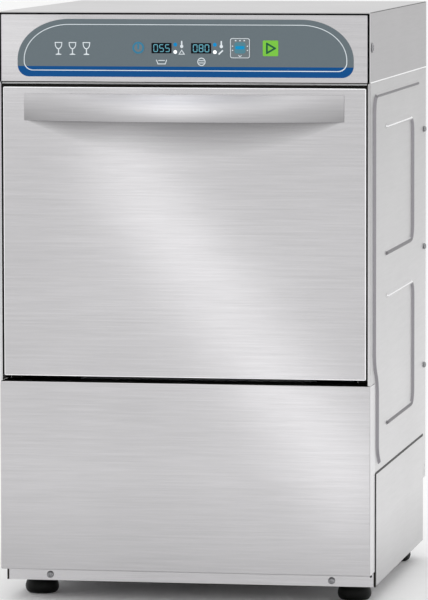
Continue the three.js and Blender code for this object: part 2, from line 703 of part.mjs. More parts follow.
// The spindle that carries a pair of arms, pointing up from its seat.
// From the bottom: seat, wide journal, collar, thin journal, knob.
function spindle(seatRadius, base, wash, rinse, top) {
  return turned([
    [0, base], [seatRadius, base], [seatRadius, wash - 16], [17, wash - 16], [17, wash - 9.6], [12, wash - 9.6],
    [12, wash + 9.8], [8, wash + 9.8], [8, rinse + 5.5], [14, rinse + 5.5], [14, top - 2], [10, top], [0, top],
  ], 18);
}

function overflowPipe() {
  return cut(
    turned([
      [0, 0], [13.5, 0], [13.5, 4], [15.5, 4], [15.5, 8], [13.5, 8], [13.5, 76], [17, 78], [17, 82], [0, 82],
    ], 14),
    disc(11, 'z', [0, 0], [-1, 70], 14),
    box([-20, 20], [-4, 4], [60, 68]),
  );
}

function tankHeater() {
  const [near, far] = HEATER_LEGS;
  const outside = -SUMP.half - 14;
  const y = (place) => [[outside, place, HEATER_HEIGHT], [100, place, HEATER_HEIGHT]];
  const [start, turn] = y(near);
  const [finish, back] = y(far);
  return rod([start, turn, back, finish], 4.2, 14, 8);
}

function tankFilter() {
  const half = SUMP.half + 6;
  const zs = [TANK.floor + GAP, TANK.floor + GAP + 1.5];
  let plate = box([-half, half], [SPIN.y - half, SPIN.y + half], zs);
  plate = cut(
    plate,
    disc(22, 'z', [SPIN.x, SPIN.y], [zs[0] - 1, zs[1] + 1], 16),
    disc(18.5, 'z', [DRAIN.x, DRAIN.y], [zs[0] - 1, zs[1] + 1], 14),
  );
  const pitch = 26;
  for (let column = -5; column <= 5; column += 1) {
    for (const [low, high] of [[-135, -30], [35, 135]]) {
      if (column > 2 && low > 0) continue;
      const x = column * pitch;
      plate = cut(plate, box([x - 4, x + 4], [SPIN.y + low, SPIN.y + high], [zs[0] - 1, zs[1] + 1]));
    }
  }
  return plate;
}

function buildTank() {
  part('wash_tank', washTank(), tankSteel);
  part('door_gasket', doorGasket(), blackRubber);
  for (const [name, side] of Object.entries(SIDES)) part(`rack_rail_${name}`, rackRail(side), tankSteel);
  for (const [level, { wash, rinse }] of Object.entries(ARM_LEVELS)) {
    const facing = level === 'lower' ? 0 : Math.PI;
    const washArm = part(`${level}_wash_arm`, sprayArm(WASH_ARM), armPlastic, [SPIN.x, SPIN.y, wash]);
    const rinseArm = part(`${level}_rinse_arm`, sprayArm(RINSE_ARM), armPlastic, [SPIN.x, SPIN.y, rinse]);
    washArm.rotation.set(facing, 0, Math.PI / 9);
    rinseArm.rotation.set(facing, 0, -Math.PI / 3);
  }
  const { lower, upper } = ARM_LEVELS;
  part('lower_spindle', spindle(12.4, SUMP.floor - 8, lower.wash, lower.rinse, lower.rinse + 14), armPlastic,
    [SPIN.x, SPIN.y, 0]);
  const mirror = 2 * upper.wash;
  const upperSpindle = spindle(12.4, mirror - 630, upper.wash, mirror - upper.rinse, mirror - upper.rinse + 12);
  const hung = part('upper_spindle', upperSpindle, armPlastic, [SPIN.x, SPIN.y, mirror]);
  hung.rotation.x = Math.PI;
  part('tank_filter', tankFilter(), tankSteel);
  part('overflow_pipe', overflowPipe(), armPlastic, [DRAIN.x, DRAIN.y, SUMP.floor + GAP]);
  part('tank_heater', tankHeater(), copperSteel);
}

// ---------------------------------------------------------------- pump, pipes and boiler
function hollow(corners, outer, inner, bend) {
  return cut(rod(corners, outer, bend), rod(corners, inner, bend));
}

function pumpBody() {
  const { y, z, volute } = PUMP;
  const across = [-66, -26];
  const shell = join(
    disc(volute, 'x', [y, z], across, 24),
    disc(17.5, 'x', [y, z], [-27, 6], 14),
    disc(13, 'y', [-46, z + 40], [y, 150], 12),
  );
  return cut(
    shell,
    disc(volute - 3, 'x', [y, z], [across[0] + 3, across[1] - 3], 24),
    disc(14, 'x', [y, z], [-30, 7], 14),
    disc(10, 'y', [-46, z + 40], [y, 151], 12),
    disc(7, 'x', [y, z], [across[0] - 1, across[0] + 4], 12),
  );
}

function pumpRotor() {
  let rotor = join(disc(5, 'x', [0, 0], [-60, 14], 12), disc(40, 'x', [0, 0], [0, 3], 20));
  for (let vane = 0; vane < 6; vane += 1) {
    const blade = prism([[8, -1.5], [38, -1.5], [38, 1.5], [8, 1.5]], 'x', [2, 14]);
    rotor = join(rotor, blade.rotate([vane * 60, 0, 0]));
  }
  return join(rotor, disc(9, 'x', [0, 0], [0, 14], 12));
}

function pumpMotor() {
  const { y, z, motor } = PUMP;
  return cut(
    join(
      disc(motor, 'x', [y, z], [-200, -66.3], 20),
      box([-180, -90], [y - 30, y + 30], [FOOT_HEIGHT + FRAME_SHEET + GAP, z - 30]),
    ),
    disc(6.5, 'x', [y, z], [-125, -60], 12),
  );
}

function deliveryPipe() {
  const [x, y, z] = [-46, 150.4, PUMP.z + 40];
  const rise = 228;
  const over = 655;
  const main = [
    [x, y, z], [x, rise, z], [x, rise, over], [x, SPIN.y, over], [0, SPIN.y, over], [0, SPIN.y, 630.5],
  ];
  const branch = [[x, 175, z], [x, 175, 187], [0, 175, 187], [0, SPIN.y, 187], [0, SPIN.y, 206.5]];
  const outer = join(rod(main, 11, 18), rod(branch, 9, 14));
  return cut(outer, rod(main, 9, 18), rod(branch, 7, 14));
}

// The boiler lies under the tank. Its outlet pipe climbs behind the tank to the upper rinse feed.
function boiler() {
  const outlet = [[13, 108, -30], [13, 226, -30], [13, 226, 530], [13, SPIN.y, 530], [-118, SPIN.y, 530]];
  const shell = turned([
    [0, -150], [42, -150], [52, -146], [55, -138], [55, 98], [52, 106], [42, 110], [0, 110],
  ], 22).rotate([-90, 0, 0]);
  const water = disc(52, 'y', [0, 0], [-142, 103], 22);
  const heaterHole = disc(9, 'y', [0, 0], [-160, -130], 12);
  return join(
    cut(join(shell, disc(24, 'y', [0, 0], [-158, -149], 16)), water, heaterHole),
    box([-40, 40], [-120, -100], [-81 + GAP, -50]),
    box([-40, 40], [60, 80], [-81 + GAP, -50]),
    rod(outlet, 5, 14, 8),
  );
}

function drainPipe() {
  const { x, y } = DRAIN;
  const corners = [
    [x, y, SUMP.floor - 2], [x, y, 188], [x, 216, 188], [x, 216, DRAIN_OUT_Z], [x, 262, DRAIN_OUT_Z],
  ];
  return hollow(corners, 14, 11.5, 16);
}

function suctionElbow() {
  const { x, y } = SUCTION;
  return hollow([[x, y, SUMP.floor - 0.5], [x, y, PUMP.z], [6.4, y, PUMP.z]], 17.5, 14, 22);
}

function inletValve() {
  const thread = disc(13, 'y', [0, 0], [-6, 20], 16);
  return cut(
    join(
      thread,
      disc(15, 'y', [0, 0], [-12, -3], 6),
      box([-14, 14], [-42, -11], [-12, 16]),
      disc(12, 'z', [0, -28], [15, 44], 14),
    ),
    disc(9, 'y', [0, 0], [-20, 21], 12),
  );
}

function cableGland() {
  return cut(
    join(
      disc(12, 'y', [0, 0], [0.3, 7], 6),
      disc(10, 'y', [0, 0], [6, 15], 14),
      disc(8.2, 'y', [0, 0], [-10, 1], 12),
    ),
    disc(4.5, 'y', [0, 0], [-11, 16], 10),
  );
}

function buildHydraulics() {
  part('wash_pump_body', pumpBody(), blackPlastic);
  part('pump_rotor', pumpRotor(), armPlastic, [-58, PUMP.y, PUMP.z]);
  part('pump_motor', pumpMotor(), motorPaint);
  part('delivery_pipe', deliveryPipe(), blackRubber);
  part('suction_elbow', suctionElbow(), blackRubber);
  part('boiler', boiler(), tankSteel, [130, 0, 105]);
  part('drain_pipe', drainPipe(), blackPlastic);
  part('inlet_valve', inletValve(), blackPlastic, [INLET.x, BASE_BACK, INLET.z]);
  part('cable_gland', cableGland(), blackPlastic, [GLAND.x, BASE_BACK, GLAND.z]);
}

buildCabinet();
buildControls();
buildDoor();
buildTank();
buildHydraulics();

export default machine;
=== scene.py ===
import json
import math

import bmesh
import bpy
from mathutils import Matrix, Vector


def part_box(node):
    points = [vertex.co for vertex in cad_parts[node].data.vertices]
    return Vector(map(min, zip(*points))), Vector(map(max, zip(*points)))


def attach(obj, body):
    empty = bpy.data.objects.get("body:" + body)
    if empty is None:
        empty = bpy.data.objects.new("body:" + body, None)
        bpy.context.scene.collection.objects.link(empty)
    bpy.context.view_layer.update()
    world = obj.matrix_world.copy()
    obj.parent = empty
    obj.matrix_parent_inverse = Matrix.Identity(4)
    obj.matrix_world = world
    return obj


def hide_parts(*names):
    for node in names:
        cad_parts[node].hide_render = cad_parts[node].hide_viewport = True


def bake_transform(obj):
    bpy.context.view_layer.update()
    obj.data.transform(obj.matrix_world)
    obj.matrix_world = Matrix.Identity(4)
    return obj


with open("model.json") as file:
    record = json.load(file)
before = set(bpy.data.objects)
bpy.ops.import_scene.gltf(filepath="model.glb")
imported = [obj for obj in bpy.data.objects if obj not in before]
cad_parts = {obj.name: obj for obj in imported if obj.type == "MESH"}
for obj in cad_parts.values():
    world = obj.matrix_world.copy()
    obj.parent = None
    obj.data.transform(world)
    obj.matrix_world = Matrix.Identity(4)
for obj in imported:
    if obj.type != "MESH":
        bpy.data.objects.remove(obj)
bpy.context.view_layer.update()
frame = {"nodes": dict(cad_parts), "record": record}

# Lengths in this script are millimetres in the frame's own axes, and MM turns them into metres.
MM = 0.001
SCENE = bpy.context.scene
NODES = frame["nodes"]
SIDES = {"left": -1, "right": 1}


def mm_box(node):
    """A CAD node's box in millimetres, as ((x0, x1), (y0, y1), (z0, z1))."""
    low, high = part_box(node)
    return tuple((low[axis] / MM, high[axis] / MM) for axis in range(3))


# The boxes of the CAD nodes that several pieces are built to.
COVER = mm_box("top_cover")
SKIN = mm_box("door_skin")
PANEL = mm_box("lower_front_panel")
FASCIA = mm_box("control_panel")
OVERLAY = mm_box("control_overlay")
TANK = mm_box("wash_tank")
GRIP = mm_box("door_handle")
FRONT, BACK = COVER[1]

# The stiffening beads of a side panel, as lines of (y, z) points.
BEADS = [
    [
        (FRONT + 415, 611), (FRONT + 30, 611), (FRONT + 30, 290),
        (FRONT + 55, 268), (FRONT + 55, 184), (FRONT + 70, 171),
    ],
    [(FRONT + 137, 571), (FRONT + 368, 571), (FRONT + 368, 417), (FRONT + 137, 417)],
    [(FRONT + 144, 365), (FRONT + 371, 365), (FRONT + 371, 210), (FRONT + 144, 210)],
]
# How far out the side sheets' faces are, and the lower edge of the lower side covers.
SIDE_FACE = 224.6
SIDE_FOOT = mm_box("side_cover_left")[2][0]
# The outline of an upper side sheet, which steps round the lower side cover.
PANEL_YS = {"front": FRONT, "base": FRONT + 40, "step": FRONT + 478.3, "back": FRONT + 500}
PANEL_ZS = {"top": 627.7, "panel": 268.3, "seam": 158.3, "step": 102}


# ------------------------------------------------------------------ node materials
class Term:
    """A value in a material's node graph. Arithmetic on terms and numbers adds Math nodes."""

    def __init__(self, graph, socket):
        self.graph = graph
        self.socket = socket

    def __add__(self, other):
        return self.graph.calc("ADD", self, other)

    def __sub__(self, other):
        return self.graph.calc("SUBTRACT", self, other)

    def __rsub__(self, other):
        return self.graph.calc("SUBTRACT", other, self)

    def __mul__(self, other):
        return self.graph.calc("MULTIPLY", self, other)

    def __truediv__(self, other):
        return self.graph.calc("DIVIDE", self, other)

    def clamped(self):
        """The value held between 0 and 1."""
        return self.graph.calc("ADD", self, 0.0, clamp=True)


class Graph:
    """A new material and its node graph. Inputs are numbers, colours or terms."""

    def __init__(self, name):
        self.material = bpy.data.materials.new(name)
        self.material.use_nodes = True
        self.tree = self.material.node_tree

    def fill(self, node, values):
        for name, value in values.items():
            if isinstance(value, Term):
                self.tree.links.new(value.socket, node.inputs[name])
            else:
                node.inputs[name].default_value = value

    def node(self, kind, values, output, **settings):
        """A new node with its settings and inputs, given as the term of one of its outputs."""
        node = self.tree.nodes.new(f"ShaderNode{kind}")
        for name, setting in settings.items():
            setattr(node, name, setting)
        self.fill(node, values)
        return Term(self, node.outputs[output])

    def shader(self, values):
        """Fills inputs of the material's own shader."""
        self.fill(self.tree.nodes["Principled BSDF"], values)

    def calc(self, operation, *values, clamp=False):
        return self.node("Math", dict(enumerate(values)), "Value", operation=operation, use_clamp=clamp)

    def coordinates(self, scale=(1, 1, 1)):
        place = self.node("TexCoord", {}, "Object")
        return self.node("Mapping", {"Scale": scale, "Vector": place}, "Vector")

    def place(self, axis):
        """The object's own X, Y or Z, in metres."""
        return self.node("SeparateXYZ", {"Vector": self.node("TexCoord", {}, "Object")}, axis)

    def noise(self, vector, scale, detail, roughness):
        values = {"Scale": scale, "Detail": detail, "Roughness": roughness, "Vector": vector}
        return self.node("TexNoise", values, "Fac")

    def spread(self, value, low, high):
        """A noise value, which is mostly between 0.3 and 0.7, carried to the range low..high."""
        values = {"From Min": 0.3, "From Max": 0.7, "To Min": low, "To Max": high, "Value": value}
        return self.node("MapRange", values, "Result")

    def shaded(self, colour, factor):
        """A colour multiplied by a grey factor."""
        return self.node("VectorMath", {0: colour, "Scale": factor}, "Vector", operation="SCALE")

    def bump(self, height, strength, distance):
        values = {"Strength": strength, "Distance": distance, "Height": height}
        self.shader({"Normal": self.node("Bump", values, "Normal")})


def bow(graph):
    """1 in the middle of the door and 0 at the ends of its handle."""
    share = graph.place("X") / (GRIP[0][1] * MM)
    return 1 - share * share


def painted_shadow_under_grip(graph):
    """Painted shadow: a darker band that fades out below the bowed handle."""
    depth, strength, edge = 0.046, 0.58, 0.001
    z, foot = graph.place("Z"), GRIP[2][0] * MM
    reach = graph.calc("MAXIMUM", bow(graph) * depth, edge)
    left = (1 - (foot + edge - z) / reach).clamped()
    below = graph.calc("LESS_THAN", z, foot + 0.01)
    within_ends = (bow(graph) * 12).clamped()
    return 1 - left * below * within_ends * strength


def side_painted_shade(graph):
    """Painted shade: the side sheets lose a little brightness towards the top of the cabinet and near the
    floor.
    """
    z, high_start, low_start = graph.place("Z"), 0.25, 0.10
    high = ((z - high_start) * 0.72).clamped()
    low = graph.calc("MAXIMUM", low_start - z, 0.0) * 3
    return 1 - (high + low)


def panel_painted_shade(graph):
    """Painted shade: the lower front panel darkens a little towards the floor."""
    low_start = 0.16
    return 1 - graph.calc("MAXIMUM", low_start - graph.place("Z"), 0.0) * 1.15


def grip_painted_light(graph):
    """Painted highlight and shade: the handle is lightest near its middle, and darkens towards its lower edge
    and its ends.
    """
    low, top = GRIP[2]
    drop = ((top * MM - graph.place("Z")) / ((top - low) * MM)).clamped()
    end = (1 - bow(graph)).clamped()
    tone = 1 - drop * (end * end * 0.19 + 0.25)
    # Where the painted highlight is brightest across the handle, and how far it reaches, in metres.
    peak_x, peak_reach = -0.012, 0.06
    off = (graph.place("X") - peak_x) / peak_reach
    peak = graph.calc("EXPONENT", off * off * -1)
    return tone * (peak * (0.64 - drop * drop * 0.58) + 1)


def steel(name, colour, roughness, grain, contrast, anisotropy=0.0, shade=None):
    """Brushed stainless steel. The grain runs along the axes with the smallest scale."""
    graph = Graph(name)
    wide_grain = (grain[0] * 3, grain[1] * 3, grain[2] * 0.4)
    lines = graph.noise(graph.coordinates(grain), 1.0, 5.0, 0.75)
    bands = graph.noise(graph.coordinates(wide_grain), 1.0, 3.0, 0.6)
    clouds = graph.noise(graph.coordinates(), 5.0, 3.0, 0.5)
    tone = graph.spread(lines, 1 - contrast, 1 + contrast)
    tone = tone * graph.spread(bands, 1 - contrast * 0.8, 1 + contrast * 0.8)
    tone = tone * graph.spread(clouds, 0.97, 1.03)
    if shade:
        tone = tone * shade(graph)
    graph.shader({
        "Base Color": graph.shaded(colour, tone),
        "Roughness": graph.spread(lines, roughness * 0.9, roughness * 1.12),
        "Metallic": 1.0,
    })
    if anisotropy:
        tangent = graph.node("Tangent", {}, "Tangent", direction_type="RADIAL", axis="Z")
        graph.shader({"Anisotropic": anisotropy, "Anisotropic Rotation": 0.25, "Tangent": tangent})
    graph.bump(lines, 0.12, 0.0002)
    return graph.material


def moulded(name, colour, roughness, grain=900.0, relief=0.25, metallic=0.0, emission=0.0, shine=0.5):
    """Plastic, rubber or paint with a fine skin texture and slight tone changes."""
    graph = Graph(name)
    skin = graph.noise(graph.coordinates(), grain, 3.0, 0.6)
    patches = graph.noise(graph.coordinates(), 22.0, 3.0, 0.5)
    tinted = graph.shaded(colour, graph.spread(patches, 0.9, 1.1))
    graph.shader({
        "Base Color": tinted,
        "Roughness": graph.spread(patches, roughness * 0.88, roughness * 1.1),
        "Metallic": metallic,
        "Specular IOR Level": shine,
    })
    if emission:
        graph.shader({"Emission Color": tinted, "Emission Strength": emission})
    graph.bump(skin, relief, 0.00015)
    return graph.material


def printed(name, colour, roughness=0.45, relief=0.1, **finish):
    """Ink, film or a lit mark, with a very fine skin."""
    return moulded(name, colour, roughness, 1600.0, relief, **finish)


def overlay_film(name, grey, blue, split):
    """The printed film: grey above a blue band, with a sharp border at one height."""
    graph = Graph(name)
    above = graph.calc("GREATER_THAN", graph.place("Z"), split * MM)
    colours = {"A": (*blue, 1), "B": (*grey, 1), "Factor": above}
    weave = graph.noise(graph.coordinates(), 1600.0, 2.0, 0.5)
    colour = graph.node("Mix", colours, "Result", data_type="RGBA")
    graph.shader({
        "Base Color": graph.shaded(colour, graph.spread(weave, 0.95, 1.05)),
        "Roughness": graph.spread(weave, 0.38, 0.46),
        "Specular IOR Level": 0.13,
    })
    graph.bump(weave, 0.15, 0.0001)
    return graph.material


# Grains: brushed sideways, from fine to coarse.
FINE, MEDIUM, COARSE = (5, 5, 1400), (5, 5, 900), (5, 5, 700)
SHEET = (0.573, 0.565, 0.577)
SHEET_STEEL = steel("sheet_steel", SHEET, 0.22, FINE, 0.065, 0.6)
# The lower panel's steel, with painted shade towards the floor.
PANEL_STEEL = steel("panel_steel", SHEET, 0.22, FINE, 0.065, 0.6, panel_painted_shade)
# The door's steel carries a painted shadow below the handle.
DOOR_STEEL = steel("door_steel", SHEET, 0.22, FINE, 0.065, 0.6, painted_shadow_under_grip)
# The handle's steel, with a painted highlight and painted shade.
GRIP_STEEL = steel("grip_steel", SHEET, 0.46, FINE, 0.06, 0.3, grip_painted_light)
# The side sheets' steel, with painted shade towards the top and near the floor.
SIDE_STEEL = steel("side_steel", (0.665, 0.66, 0.665), 0.38, COARSE, 0.03, 0.35, side_painted_shade)
# A lighter copy of the sheet steel for sideways bends: painted light.
RETURN_LIT_STEEL = steel("return_painted_light_steel", (0.75, 0.745, 0.755), 0.34, COARSE, 0.02, 0.3)
COVER_STEEL = steel("cover_steel", (0.575, 0.57, 0.575), 0.42, MEDIUM, 0.03, 0.35)
# A darker copy of the cover steel for the cover's sides: painted shade.
COVER_SIDE_SHADE_STEEL = steel("cover_side_painted_shade_steel", (0.42, 0.413, 0.42), 0.42, MEDIUM, 0.03, 0.35)
# Near-white steel for painted highlights along edges.
EDGE_HIGHLIGHT_STEEL = steel("edge_painted_highlight_steel", (0.95, 0.95, 0.955), 0.5, COARSE, 0.02)
# Near-black steel for painted shade along bends.
FOLD_SHADE_STEEL = steel("fold_painted_shade_steel", (0.12, 0.12, 0.12), 0.5, COARSE, 0.03)
# Darker copies of the side steel: painted shade on the beads.
BEAD_SHADE_STEEL = steel("bead_painted_shade_steel", (0.31, 0.30, 0.32), 0.5, COARSE, 0.03)
BEAD_DEEP_SHADE_STEEL = steel("bead_painted_deep_shade_steel", (0.21, 0.205, 0.215), 0.5, COARSE, 0.03)
TANK_STEEL = steel("tank_steel", (0.62, 0.62, 0.63), 0.24, (60, 60, 60), 0.03)
SCREW_STEEL = steel("screw_steel", (0.30, 0.30, 0.31), 0.26, (300, 300, 300), 0.08)
# Near-black steel for the hinge brackets and door arms, also used as painted shade in slots and joints.
BRACKET_AND_SHADE_STEEL = steel("bracket_and_painted_shade_steel", (0.022, 0.021, 0.019), 0.5, (60, 60, 60), 0.05)
HEATER_STEEL = steel("heater_steel", (0.36, 0.33, 0.31), 0.35, (90, 90, 90), 0.15)

EDGE_GLINT = moulded("edge_glint", (0.86, 0.86, 0.87), 0.35, relief=0.1, emission=0.4)
BLACK_PLASTIC = moulded("black_plastic", (0.004, 0.0045, 0.004), 0.5, shine=0.14)
# Black rubber for the seals, also used as painted shade on the lower panel's top and in the plinth hole.
BLACK_RUBBER_AND_SHADE = moulded("black_rubber", (0.004, 0.0035, 0.003), 0.6, 600.0, 0.35, shine=0.1)
ARM_PLASTIC = moulded("arm_plastic", (0.05, 0.055, 0.065), 0.4)
MOTOR_PAINT = moulded("motor_paint", (0.04, 0.045, 0.05), 0.45, 700.0, 0.3, metallic=0.2)
CIRCUIT = moulded("circuit_board", (0.02, 0.13, 0.05), 0.5)

BLUE_BORDER = OVERLAY[2][0] + 12.5
FILM_GREY = (0.135, 0.168, 0.186)
FILM = overlay_film("overlay_film", FILM_GREY, (0.0, 0.072, 0.25), BLUE_BORDER)
KEY_FILM = printed("key_film", FILM_GREY, 0.42, 0.15)
PALE_INK = printed("pale_ink", (0.72, 0.78, 0.82))
TEAL_INK = printed("teal_ink", (0.06, 0.21, 0.27))
BLUE_INK = printed("blue_ink", (0.035, 0.20, 0.33), shine=0.2)
GREEN_INK = printed("green_ink", (0.19, 0.57, 0.045), 0.4, shine=0.3)
DARK_GREEN_INK = printed("dark_green_ink", (0.008, 0.10, 0.045), shine=0.2)
DISPLAY_BLACK = printed("display_black", (0.003, 0.004, 0.007), 0.4, 0.05, shine=0.08)
DIGIT_LIGHT = printed("digit_light", (0.12, 0.38, 0.47), 0.4, 0.0, emission=0.15, shine=0.2)
LAMP_BLUE = printed("lamp_blue", (0.0, 0.24, 0.55), 0.4, 0.0, emission=0.05, shine=0.15)
BLUE_LIT = printed("blue_lit", (0.0, 0.25, 0.50), 0.4, 0.0, emission=0.15, shine=0.15)
LAMP_WHITE = printed("lamp_white", (0.85, 0.88, 0.90), 0.3, 0.0, emission=0.5)

SLOT_MATERIALS = {
    "cabinet_steel": SHEET_STEEL,
    "cover_steel": COVER_STEEL,
    "tank_steel": TANK_STEEL,
    "screw_steel": SCREW_STEEL,
    "heater_steel": HEATER_STEEL,
    "black_plastic": BLACK_PLASTIC,
    "black_rubber": BLACK_RUBBER_AND_SHADE,
    "overlay_film": FILM,
    "key_blue": KEY_FILM,
    "key_green": GREEN_INK,
    "circuit_board": CIRCUIT,
    "arm_plastic": ARM_PLASTIC,
    "motor_paint": MOTOR_PAINT,
}
SIDE_NODES = ("side_panel_left", "side_panel_right", "side_cover_left", "side_cover_right", "rear_panel")


def dress_cad_nodes():
    """Every CAD node that stays gets its slot's material, and the larger ones get softened edges."""
    for row in frame["record"]["subparts"]:
        node = NODES[row["node"]]
        material = SLOT_MATERIALS[row["material_slot"]]
        if row["node"] in SIDE_NODES:
            material = SIDE_STEEL
        if row["node"].startswith(("hinge_bracket", "door_arm")):
            material = BRACKET_AND_SHADE_STEEL
        node.material_slots[0].material = material
        weld = node.modifiers.new("weld", "WELD")
        weld.merge_threshold = 0.00002
        edge = node.modifiers.new("soft_edges", "BEVEL")
        edge.width = 0.0004
        edge.segments = 2
        edge.limit_method = "ANGLE"
        edge.angle_limit = math.radians(50)
        edge.harden_normals = False


dress_cad_nodes()


# ------------------------------------------------------------------ mesh helpers
def place_piece(name, mesh, material, body, replaces=(), sharp=38.0):
    mesh.materials.clear()
    mesh.materials.append(material)
    mesh.polygons.foreach_set("use_smooth", [True] * len(mesh.polygons))
    mesh.set_sharp_from_angle(angle=math.radians(sharp))
    piece = bpy.data.objects.new(name, mesh)
    SCENE.collection.objects.link(piece)
    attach(piece, body)
    weighted = piece.modifiers.new("flat_normals", "WEIGHTED_NORMAL")
    weighted.keep_sharp = True
    if replaces:
        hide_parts(*replaces)
    return piece


def to_mesh(name, shape, closed=True):
    if closed:
        bmesh.ops.recalc_face_normals(shape, faces=shape.faces)
    bmesh.ops.scale(shape, vec=(MM, MM, MM), verts=shape.verts)
    mesh = bpy.data.meshes.new(name)
    shape.to_mesh(mesh)
    shape.free()
    return mesh


def evaluated(mesh, *settings):
    """The mesh after the given modifiers, each a (type, {attribute: value}) pair."""
    holder = bpy.data.objects.new("holder", mesh)
    SCENE.collection.objects.link(holder)
    for kind, values in settings:
        modifier = holder.modifiers.new(kind.lower(), kind)
        for attribute, value in values.items():
            setattr(modifier, attribute, value)
    ready = bpy.data.meshes.new_from_object(holder.evaluated_get(bpy.context.evaluated_depsgraph_get()))
    bpy.data.objects.remove(holder)
    return ready


def carved(mesh, *cutters):
    """The mesh with each closed cutter mesh taken out of it."""
    for cutter_mesh in cutters:
        cutter = bpy.data.objects.new("cutter", cutter_mesh)
        SCENE.collection.objects.link(cutter)
        mesh = evaluated(mesh, ("BOOLEAN", {"operation": "DIFFERENCE", "solver": "EXACT", "object": cutter}))
        bpy.data.objects.remove(cutter)
    return mesh


def joined(name, meshes):
    shape = bmesh.new()
    for mesh in meshes:
        shape.from_mesh(mesh)
    whole = bpy.data.meshes.new(name)
    shape.to_mesh(whole)
    shape.free()
    return whole


def fill_between(shape, rows, closed=False):
    """Faces between neighbouring rows of points, which are closed rings or open lines."""
    count = len(rows[0])
    for one, other in zip(rows, rows[1:]):
        for step in range(count if closed else count - 1):
            after = (step + 1) % count
            shape.faces.new((one[step], one[after], other[after], other[step]))


def cube(xs, ys, zs):
    shape = bmesh.new()
    bmesh.ops.create_cube(shape, size=1.0)
    for vert in shape.verts:
        vert.co = [span[0] if part < 0 else span[1] for part, span in zip(vert.co, (xs, ys, zs))]
    return shape


def block(name, xs, ys, zs, rounding=0.0):
    shape = cube(xs, ys, zs)
    if rounding:
        bmesh.ops.bevel(shape, geom=shape.edges[:], offset=rounding, segments=3, profile=0.5, affect="EDGES")
    return to_mesh(name, shape)


def on_side(face, bounds, side):
    """Whether a face lies in one side, such as "-y", of a box."""
    axis = "xyz".index(side[1])
    level = bounds[axis][0 if side[0] == "-" else 1]
    return all(abs(vert.co[axis] - level) < 0.001 for vert in face.verts)


def pan(name, xs, ys, zs, thickness, open_sides, bend):
    """A box folded from sheet: some sides open, the bends rounded on the outside."""
    bounds = (xs, ys, zs)
    shape = cube(xs, ys, zs)
    gone = [face for face in shape.faces if any(on_side(face, bounds, side) for side in open_sides)]
    bmesh.ops.delete(shape, geom=gone, context="FACES_ONLY")
    bends = [edge for edge in shape.edges if len(edge.link_faces) == 2]
    bmesh.ops.bevel(shape, geom=bends, offset=bend, segments=4, profile=0.5, affect="EDGES")
    sheet = to_mesh(name, shape, False)
    solid = {"thickness": thickness * MM, "offset": -1.0, "use_even_offset": True}
    return evaluated(sheet, ("SOLIDIFY", solid))


# Turns that carry the Z axis to another axis.
TURNS = {
    "z": Matrix(),
    "-y": Matrix.Rotation(math.radians(90), 4, "X"),
    "x": Matrix.Rotation(math.radians(90), 4, "Y"),
    "-x": Matrix.Rotation(math.radians(-90), 4, "Y"),
}


def lathe(name, profile, place, axis, segments):
    """A turned piece. The profile is (radius, height) pairs along the axis, from the place."""
    shape = bmesh.new()
    rings = []
    for radius, height in profile:
        if radius < 1e-6:
            rings.append([shape.verts.new((0, 0, height))])
            continue
        angles = [2 * math.pi * step / segments for step in range(segments)]
        rings.append([shape.verts.new((radius * math.cos(a), radius * math.sin(a), height)) for a in angles])
    for low, high in zip(rings, rings[1:]):
        for step in range(segments):
            after = (step + 1) % segments
            around = ((low, step), (low, after), (high, after), (high, step))
            corners = [level[spot % len(level)] for level, spot in around]
            unique = list(dict.fromkeys(corners))
            if len(unique) > 2:
                shape.faces.new(unique)
    bmesh.ops.transform(shape, matrix=Matrix.Translation(Vector(place)) @ TURNS[axis], verts=shape.verts)
    return to_mesh(name, shape)


def flat_shape(name, loops, near, far, rounding=0.0, plane="xz"):
    """A plate whose outline and holes are loops of (across, z) points, between two depths."""
    curve = bpy.data.curves.new(name, "CURVE")
    curve.dimensions = "2D"
    curve.fill_mode = "BOTH"
    curve.extrude = (abs(far - near) / 2 - rounding) * MM
    curve.bevel_depth = rounding * MM
    curve.bevel_resolution = 2
    curve.offset = -rounding * MM
    for loop in loops:
        spline = curve.splines.new("POLY")
        spline.points.add(len(loop) - 1)
        for point, (across, tall) in zip(spline.points, loop):
            point.co = (across * MM, tall * MM, 0, 1)
        spline.use_cyclic_u = True
    holder = bpy.data.objects.new(name, curve)
    SCENE.collection.objects.link(holder)
    mesh = bpy.data.meshes.new_from_object(holder.evaluated_get(bpy.context.evaluated_depsgraph_get()))
    bpy.data.objects.remove(holder)
    middle = (near + far) / 2 * MM
    if plane == "xz":
        mesh.transform(Matrix.Translation((0, middle, 0)) @ Matrix.Rotation(math.radians(90), 4, "X"))
    else:
        upright = Matrix(((0, 0, 1, 0), (1, 0, 0, 0), (0, 1, 0, 0), (0, 0, 0, 1)))
        mesh.transform(Matrix.Translation((middle, 0, 0)) @ upright)
    return evaluated(mesh, ("WELD", {"merge_threshold": 0.000005}))


# ------------------------------------------------------------------ outlines
def arc(across, tall, radius, start, end, steps=12):
    """Points of an arc, with angles in degrees. The radius is one number, or one for each direction."""
    wide, high = radius if isinstance(radius, tuple) else (radius, radius)
    turns = [math.radians(start + (end - start) * step / steps) for step in range(steps + 1)]
    return [(across + wide * math.cos(turn), tall + high * math.sin(turn)) for turn in turns]


def circle(across, tall, radius, steps=40):
    return arc(across, tall, radius, 0, 360, steps)[:-1]


def ring(across, tall, radius, width):
    return [circle(across, tall, radius), circle(across, tall, radius - width)]


def rounded(across, tall, wide, high, radius, steps=6):
    x, z = wide / 2 - radius, high / 2 - radius
    return (
        arc(across + x, tall + z, radius, 0, 90, steps)
        + arc(across - x, tall + z, radius, 90, 180, steps)
        + arc(across - x, tall - z, radius, 180, 270, steps)
        + arc(across + x, tall - z, radius, 270, 360, steps)
    )


def rectangle(across, tall, wide, high):
    x, z = wide / 2, high / 2
    return [(across - x, tall - z), (across + x, tall - z), (across + x, tall + z), (across - x, tall + z)]


